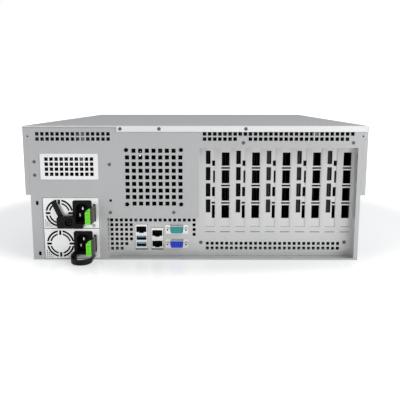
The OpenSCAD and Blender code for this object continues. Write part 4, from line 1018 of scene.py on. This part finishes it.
@dataclass
class NetworkSocket:
    """The mouth of one network socket with its eight contacts and two lamps."""

    solid: Solid
    centre: Vector
    width_mm: float = 13.8
    height_mm: float = 8.0

    def mouth(self) -> Outline:
        """Returns the outline of the mouth with the clip's notch below."""
        x, z = self.centre.x, self.centre.z
        w, h = self.width_mm * MM / 2, self.height_mm * MM / 2
        n, d = 3.2 * MM, 1.3 * MM
        return [(x - w, z - h), (x - n, z - h), (x - n, z - h - d), (x + n, z - h - d), (x + n, z - h),
                (x + w, z - h), (x + w, z + h), (x - w, z + h)]

    def build(self) -> None:
        """Adds the lining, the contacts and the lamps."""
        x, y, z = self.centre
        lining = self.mouth()
        self.solid.plate([rectangle((x - 7.4 * MM, z - 5.6 * MM), (x + 7.4 * MM, z + 4.5 * MM)), lining],
                         y + 0.5 * MM, y + 13 * MM, finish=1)
        self.solid.box(Vector((x - 7.2 * MM, y + 12 * MM, z - 5.4 * MM)),
                       Vector((x + 7.2 * MM, y + 13 * MM, z + 4.4 * MM)), 1)
        for k in range(8):
            cx = x + (k - 3.5) * 1.02 * MM
            self.solid.sweep([Vector((cx, y + 2.0 * MM, z + 3.6 * MM)),
                Vector((cx, y + 5.0 * MM, z + 2.6 * MM)),
                              Vector((cx, y + 11.5 * MM, z + 0.6 * MM))], 0.45 * MM, 0.35 * MM,
                             Vector((1.0, 0.0, 0.0)), 2)
        for s in (-1, 1):
            self.solid.box(Vector((x + s * 5.2 * MM - 1.5 * MM, y + 0.2 * MM, z + 3.6 * MM)),
                           Vector((x + s * 5.2 * MM + 1.5 * MM, y + 1.2 * MM, z + 4.3 * MM)), 3, 0.1 * MM)


@dataclass
class JackBlock:
    """A metal-shelled block of stacked sockets on the motherboard's rear edge."""

    node: str
    network_z_mm: tuple[float, ...]
    usb_z_mm: tuple[float, ...] = ()

    def build(self) -> None:
        """Builds the block in place of its CAD node."""
        low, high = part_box(self.node)
        x = (low.x + high.x) / 2
        solid = Solid()
        outline = rectangle((low.x, low.z), (high.x, high.z), 0.5 * MM, 3)
        holes = []
        for z in self.network_z_mm:
            socket = NetworkSocket(solid, Vector((x, low.y, z * MM)))
            holes.append(socket.mouth())
            socket.build()
        for z in self.usb_z_mm:
            holes.append(rectangle((x - 6.6 * MM, (z - 2.9) * MM), (x + 6.6 * MM, (z + 2.9) * MM),
                0.4 * MM, 2))
            solid.plate([rectangle((x - 7 * MM, (z - 3.3) * MM), (x + 7 * MM, (z + 3.3) * MM)), holes[-1]],
                        low.y + 0.4 * MM, low.y + 13 * MM, finish=0)
            solid.box(Vector((x - 6.8 * MM, low.y + 12 * MM, (z - 3.1) * MM)),
                      Vector((x + 6.8 * MM, low.y + 13 * MM, (z + 3.1) * MM)), 1)
            solid.box(Vector((x - 5.6 * MM, low.y + 0.7 * MM, (z + 0.5) * MM)),
                      Vector((x + 5.6 * MM, low.y + 12.5 * MM, (z + 2.3) * MM)), 4, 0.2 * MM)
            for k in range(4):
                cx = x + (k - 1.5) * 2.4 * MM
                solid.box(Vector((cx - 0.5 * MM, low.y + 1.6 * MM, (z + 0.3) * MM)),
                          Vector((cx + 0.5 * MM, low.y + 10 * MM, (z + 0.55) * MM)), 2)
        solid.plate([outline, *holes], low.y + 0.5 * MM, low.y, bevel=0.15 * MM)
        inner = rectangle((low.x + 0.4 * MM, low.z + 0.4 * MM), (high.x - 0.4 * MM, high.z - 0.4 * MM),
            0.3 * MM, 2)
        solid.plate([outline, inner], low.y + 0.4 * MM, high.y)
        solid.plate([outline], high.y - 0.5 * MM, high.y)
        solid.finish(f"{self.node}_block",
                     [Palette.NICKEL.material(), Palette.BLACK.material(), Palette.GOLD.material(),
                      Palette.AMBER.material(), Palette.USB_BLUE.material()],
                     "chassis", "jack_shell", self.node)


class PinLayout(Enum):
    """The rows of contacts in a D connector: (count, height from the middle in mm)."""

    NINE_PINS = ((5, 1.4), (4, -1.4))
    FIFTEEN_HOLES = ((5, 2.0), (5, 0.0), (5, -2.0))


@dataclass
class DPort:
    """A D connector: plated flange and shell, coloured insert, contacts and jack screws."""

    node: str
    insert: Finish
    layout: PinLayout
    slot: str
    middle_z_mm: float
    body_z_mm: tuple[float, float]
    pitch_mm: float = 2.74
    bolt_x_mm: float = 12.5

    def build(self) -> None:
        """Builds the port in place of its CAD node."""
        low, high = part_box(self.node)
        x = (low.x + high.x) / 2
        z = self.middle_z_mm * MM
        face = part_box("slot_bulkhead")[1].y - 1.2 * MM - 0.2 * MM
        solid = Solid()
        centre = (x, z)
        flange = rectangle((x - 15.4 * MM, z - 6.25 * MM), (x + 15.4 * MM, z + 6.25 * MM), 1.2 * MM, 3)
        shell_o = d_shape(centre, 19.8 * MM, 10.4 * MM, 1.3 * MM, 2.2 * MM)
        shell_i = d_shape(centre, 18.8 * MM, 9.4 * MM, 1.3 * MM, 1.9 * MM)
        insert = d_shape(centre, 18.4 * MM, 9.0 * MM, 1.3 * MM, 1.8 * MM)
        bolts = [(x - self.bolt_x_mm * MM, z), (x + self.bolt_x_mm * MM, z)]
        solid.plate([flange, shell_o], face, face - 0.8 * MM, bevel=0.2 * MM)
        solid.plate([shell_o, shell_i], face - 0.5 * MM, face - 5.8 * MM, bevel=0.15 * MM)
        solid.plate([insert], face + 8 * MM, face - 4.6 * MM, finish=1, bevel=0.3 * MM)
        for count, up in self.layout.value:
            for k in range(count):
                pin = Vector((x + (k - (count - 1) / 2) * self.pitch_mm * MM, 0.0, z + up * MM))
                if self.layout is PinLayout.NINE_PINS:
                    solid.lathe([(0.5 * MM, face - 4.5 * MM), (0.5 * MM, face - 5.4 * MM),
                        (0.3 * MM, face - 5.7 * MM),
                                 (0.0, face - 5.75 * MM)], pin, segments=10, finish=2)
                else:
                    solid.lathe([(0.0, face - 4.62 * MM), (0.62 * MM, face - 4.63 * MM)], pin,
                        segments=12, finish=3)
        for bolt in bolts:
            at = Vector((bolt[0], 0.0, bolt[1]))
            solid.plate([circle(bolt, 2.7 * MM, 6, 0.5236), circle(bolt, 1.2 * MM, 16)], face - 0.8 * MM,
                        face - 5.2 * MM + 0.4 * MM, bevel=0.2 * MM)
            solid.lathe([(1.2 * MM, face - 4.7 * MM), (1.2 * MM, face - 2 * MM), (0.0, face - 2 * MM)], at,
                        segments=16, finish=3)
        body_low, body_top = self.body_z_mm
        solid.box(Vector((x - 15.5 * MM, face + 1.7 * MM, body_low * MM)),
                  Vector((x + 15.5 * MM, face + 15.7 * MM, body_top * MM)), 3, 0.5 * MM)
        solid.finish(f"{self.node}_connector",
                     [Palette.NICKEL.material(), self.insert.material(), Palette.GOLD.material(),
                      Palette.BLACK.material()], "chassis", self.slot, self.node)


# ---------------------------------------------------------------------------
# Stage
# ---------------------------------------------------------------------------


@dataclass
class Stage:
    """The pale floor, the white surround, the soft lamps and the camera."""

    lens_mm: float = 57.53
    camera_at: tuple[float, float, float] = (0.01349, -1.16003, 0.21070)
    pitch_deg: float = 11.495
    yaw_deg: float = 0.486
    shift_y: float = 0.075
    floor_side: float = 12.0
    floor_fade: tuple[float, float] = (0.35, 0.55)
    floor_glow: tuple[float, float] = (0.42, 1.0)

    def camera(self) -> None:
        """Makes the camera and sets it as the scene's."""
        data = bpy.data.cameras.new("view")
        data.lens = self.lens_mm
        data.sensor_width = 36.0
        data.shift_y = self.shift_y
        data.clip_start = 0.01
        data.clip_end = 100.0
        camera = bpy.data.objects.new("view", data)
        camera.location = self.camera_at
        camera.rotation_euler = (math.radians(90.0 - self.pitch_deg), 0.0, math.radians(self.yaw_deg))
        bpy.context.scene.collection.objects.link(camera)
        bpy.context.scene.camera = camera

    def lamp(self, name: str, place: Vector, target: Vector, size: float, power: float) -> None:
        """Adds a square soft lamp that faces a point.

        Args:
            name: Its name.
            place: Where it hangs.
            target: The point it faces.
            size: Side of the lamp.
            power: Its power in watts.
        """
        data = bpy.data.lights.new(name, "AREA")
        data.size = size
        data.energy = power
        lamp = bpy.data.objects.new(name, data)
        lamp.location = place
        lamp.rotation_euler = (target - place).to_track_quat("-Z", "Y").to_euler()
        bpy.context.scene.collection.objects.link(lamp)

    def surround(self) -> None:
        """Makes the world: white to the camera, softer as a light."""
        world = bpy.data.worlds.new("surround")
        bpy.context.scene.world = world
        world.use_nodes = True
        nodes, link = world.node_tree.nodes, world.node_tree.links.new
        nodes.clear()
        seen = nodes.new("ShaderNodeLightPath")
        light = nodes.new("ShaderNodeBackground")
        light.inputs["Color"].default_value = (0.95, 0.97, 1.0, 1.0)
        light.inputs["Strength"].default_value = 0.45
        white = nodes.new("ShaderNodeBackground")
        white.inputs["Color"].default_value = (1.0, 1.0, 1.0, 1.0)
        white.inputs["Strength"].default_value = 1.0
        mix = nodes.new("ShaderNodeMixShader")
        out = nodes.new("ShaderNodeOutputWorld")
        link(seen.outputs["Is Camera Ray"], mix.inputs["Fac"])
        link(light.outputs["Background"], mix.inputs[1])
        link(white.outputs["Background"], mix.inputs[2])
        link(mix.outputs["Shader"], out.inputs["Surface"])

    def floor(self) -> None:
        """Makes the floor, which glows to the camera so that it fades into the surround."""
        mesh = bpy.data.meshes.new("floor")
        side = self.floor_side
        mesh.from_pydata([(-side, -side, 0), (side, -side, 0), (side, side, 0), (-side, side, 0)], [],
            [(0, 1, 2, 3)])
        floor = bpy.data.objects.new("floor", mesh)
        floor.location = (0.0, 0.0, -0.0002)
        bpy.context.scene.collection.objects.link(floor)
        material = bpy.data.materials.new("pale_floor")
        material.use_nodes = True
        nodes, link = material.node_tree.nodes, material.node_tree.links.new
        shader = nodes["Principled BSDF"]
        shader.inputs["Base Color"].default_value = (0.50, 0.50, 0.50, 1.0)
        shader.inputs["Roughness"].default_value = 0.16
        shader.inputs["Specular IOR Level"].default_value = 0.5
        shader.inputs["Emission Color"].default_value = (1.0, 1.0, 1.0, 1.0)
        seen = nodes.new("ShaderNodeLightPath")
        either = nodes.new("ShaderNodeMath")
        either.operation = "MAXIMUM"
        glow = nodes.new("ShaderNodeMath")
        glow.operation = "MULTIPLY"
        place = nodes.new("ShaderNodeTexCoord")
        away = nodes.new("ShaderNodeVectorMath")
        away.operation = "LENGTH"
        # Painted light: the floor's glow grows with distance from the middle, from floor_glow[0] to
        # floor_glow[1], so the far floor is painted white and the floor round the chassis glows least.
        fade = nodes.new("ShaderNodeMapRange")
        fade.interpolation_type = "SMOOTHSTEP"
        fade.inputs["From Min"].default_value = self.floor_fade[0]
        fade.inputs["From Max"].default_value = self.floor_fade[1]
        fade.inputs["To Min"].default_value = self.floor_glow[0]
        fade.inputs["To Max"].default_value = self.floor_glow[1]
        link(place.outputs["Object"], away.inputs[0])
        link(away.outputs["Value"], fade.inputs["Value"])
        link(fade.outputs["Result"], glow.inputs[1])
        link(seen.outputs["Is Camera Ray"], either.inputs[0])
        link(seen.outputs["Is Glossy Ray"], either.inputs[1])
        link(either.outputs["Value"], glow.inputs[0])
        link(glow.outputs["Value"], shader.inputs["Emission Strength"])
        mesh.materials.append(material)

    def build(self) -> None:
        """Builds the whole stage."""
        scene = bpy.context.scene
        scene.view_settings.view_transform = "Standard"
        self.camera()
        self.surround()
        self.floor()
        middle = Vector((0.0, -0.2, 0.09))
        self.lamp("key", Vector((1.4, -1.3, 0.9)), middle, 1.4, 28.5)
        self.lamp("fill", Vector((-1.6, -1.3, 0.7)), middle, 1.6, 7.5)
        self.lamp("top", Vector((0.0, 0.2, 1.9)), middle, 1.6, 14.0)
        LOG.info("stage built")


# ---------------------------------------------------------------------------
# The whole server
# ---------------------------------------------------------------------------


@dataclass
class Interior:
    """Boards, sinks, cards and fans that keep their CAD shapes."""

    finishes: dict[str, Finish | BoardFinish] = field(default_factory=lambda: {
        "motherboard": Palette.BOARD, "riser_board": Palette.BOARD, "power_board": Palette.BOARD,
        "drive_backplane": Palette.BOARD, "gpu_boards": Palette.DARK_BOARD, "memory_modules": Palette.BOARD,
        # The rear fan's frame and rotor are real black plastic, made darker still as painted shade behind the
        # grille.
        "cpu_heatsinks": Palette.FIN, "rear_fan_frame": Palette.PAINTED_SHADE_BLACK, "mid_fan_frames": Palette.CHARCOAL,
        "rear_fan_rotor": Palette.PAINTED_SHADE_BLACK, "psu_1_fan": Palette.BLACK, "psu_2_fan": Palette.BLACK,
    })

    def dress_ports_in_painted_shade(self) -> None:
        """Gives the display sockets of the two left cards black shells, and the rest dark grey ones: the same
        sockets in two tones, darker on the left as painted shade where less light falls.
        """
        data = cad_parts["gpu_ports"].data
        data.materials.clear()
        data.materials.append(Palette.BLACK.material())
        data.materials.append(Palette.PORT_DARK.material())
        # Painted shade: sockets left of this split are painted black, and the same sockets to the right are
        # dark grey.
        split = (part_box("gpu_2")[0].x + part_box("gpu_3")[1].x) / 2
        for polygon in data.polygons:
            polygon.material_index = 1 if polygon.center.x > split else 0
        LOG.info("gpu_ports dressed in two finishes")

    def build(self) -> None:
        """Dresses every inner node."""
        self.dress_ports_in_painted_shade()
        for node, finish in self.finishes.items():
            dress(node, finish)
        for k in range(1, 4):
            dress(f"mid_fan_rotor_{k}", Palette.BLACK)
        for k in range(1, 6):
            dress(f"gpu_{k}", Palette.SHROUD)
        for k in range(1, 5):
            dress(f"drive_tray_{k}", Palette.TRAY)
            dress(f"tray_lever_{k}", Palette.CHARCOAL)


def main() -> None:
    """Builds the stage and every piece."""
    logging.basicConfig(level=logging.INFO, format="%(name)s %(message)s")
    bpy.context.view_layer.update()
    Stage().build()
    SheetMetal().build()
    Fasteners().build()
    Interior().build()
    for number in (1, 2):
        PowerSupply(number).build()
    JackBlock("lan_usb_jack", (38.0,), (17.0, 26.0)).build()
    JackBlock("lan_jack_stack", (18.0, 32.8)).build()
    DPort("serial_port", Palette.TEAL, PinLayout.NINE_PINS, "serial_teal", 37.9, (26.4, 44.6)).build()
    DPort("vga_port", Palette.BLUE, PinLayout.FIFTEEN_HOLES, "vga_blue", 17.8, (11.2, 26.4)).build()
    LOG.info("boxes written")


if __name__ == "__main__":
    main()
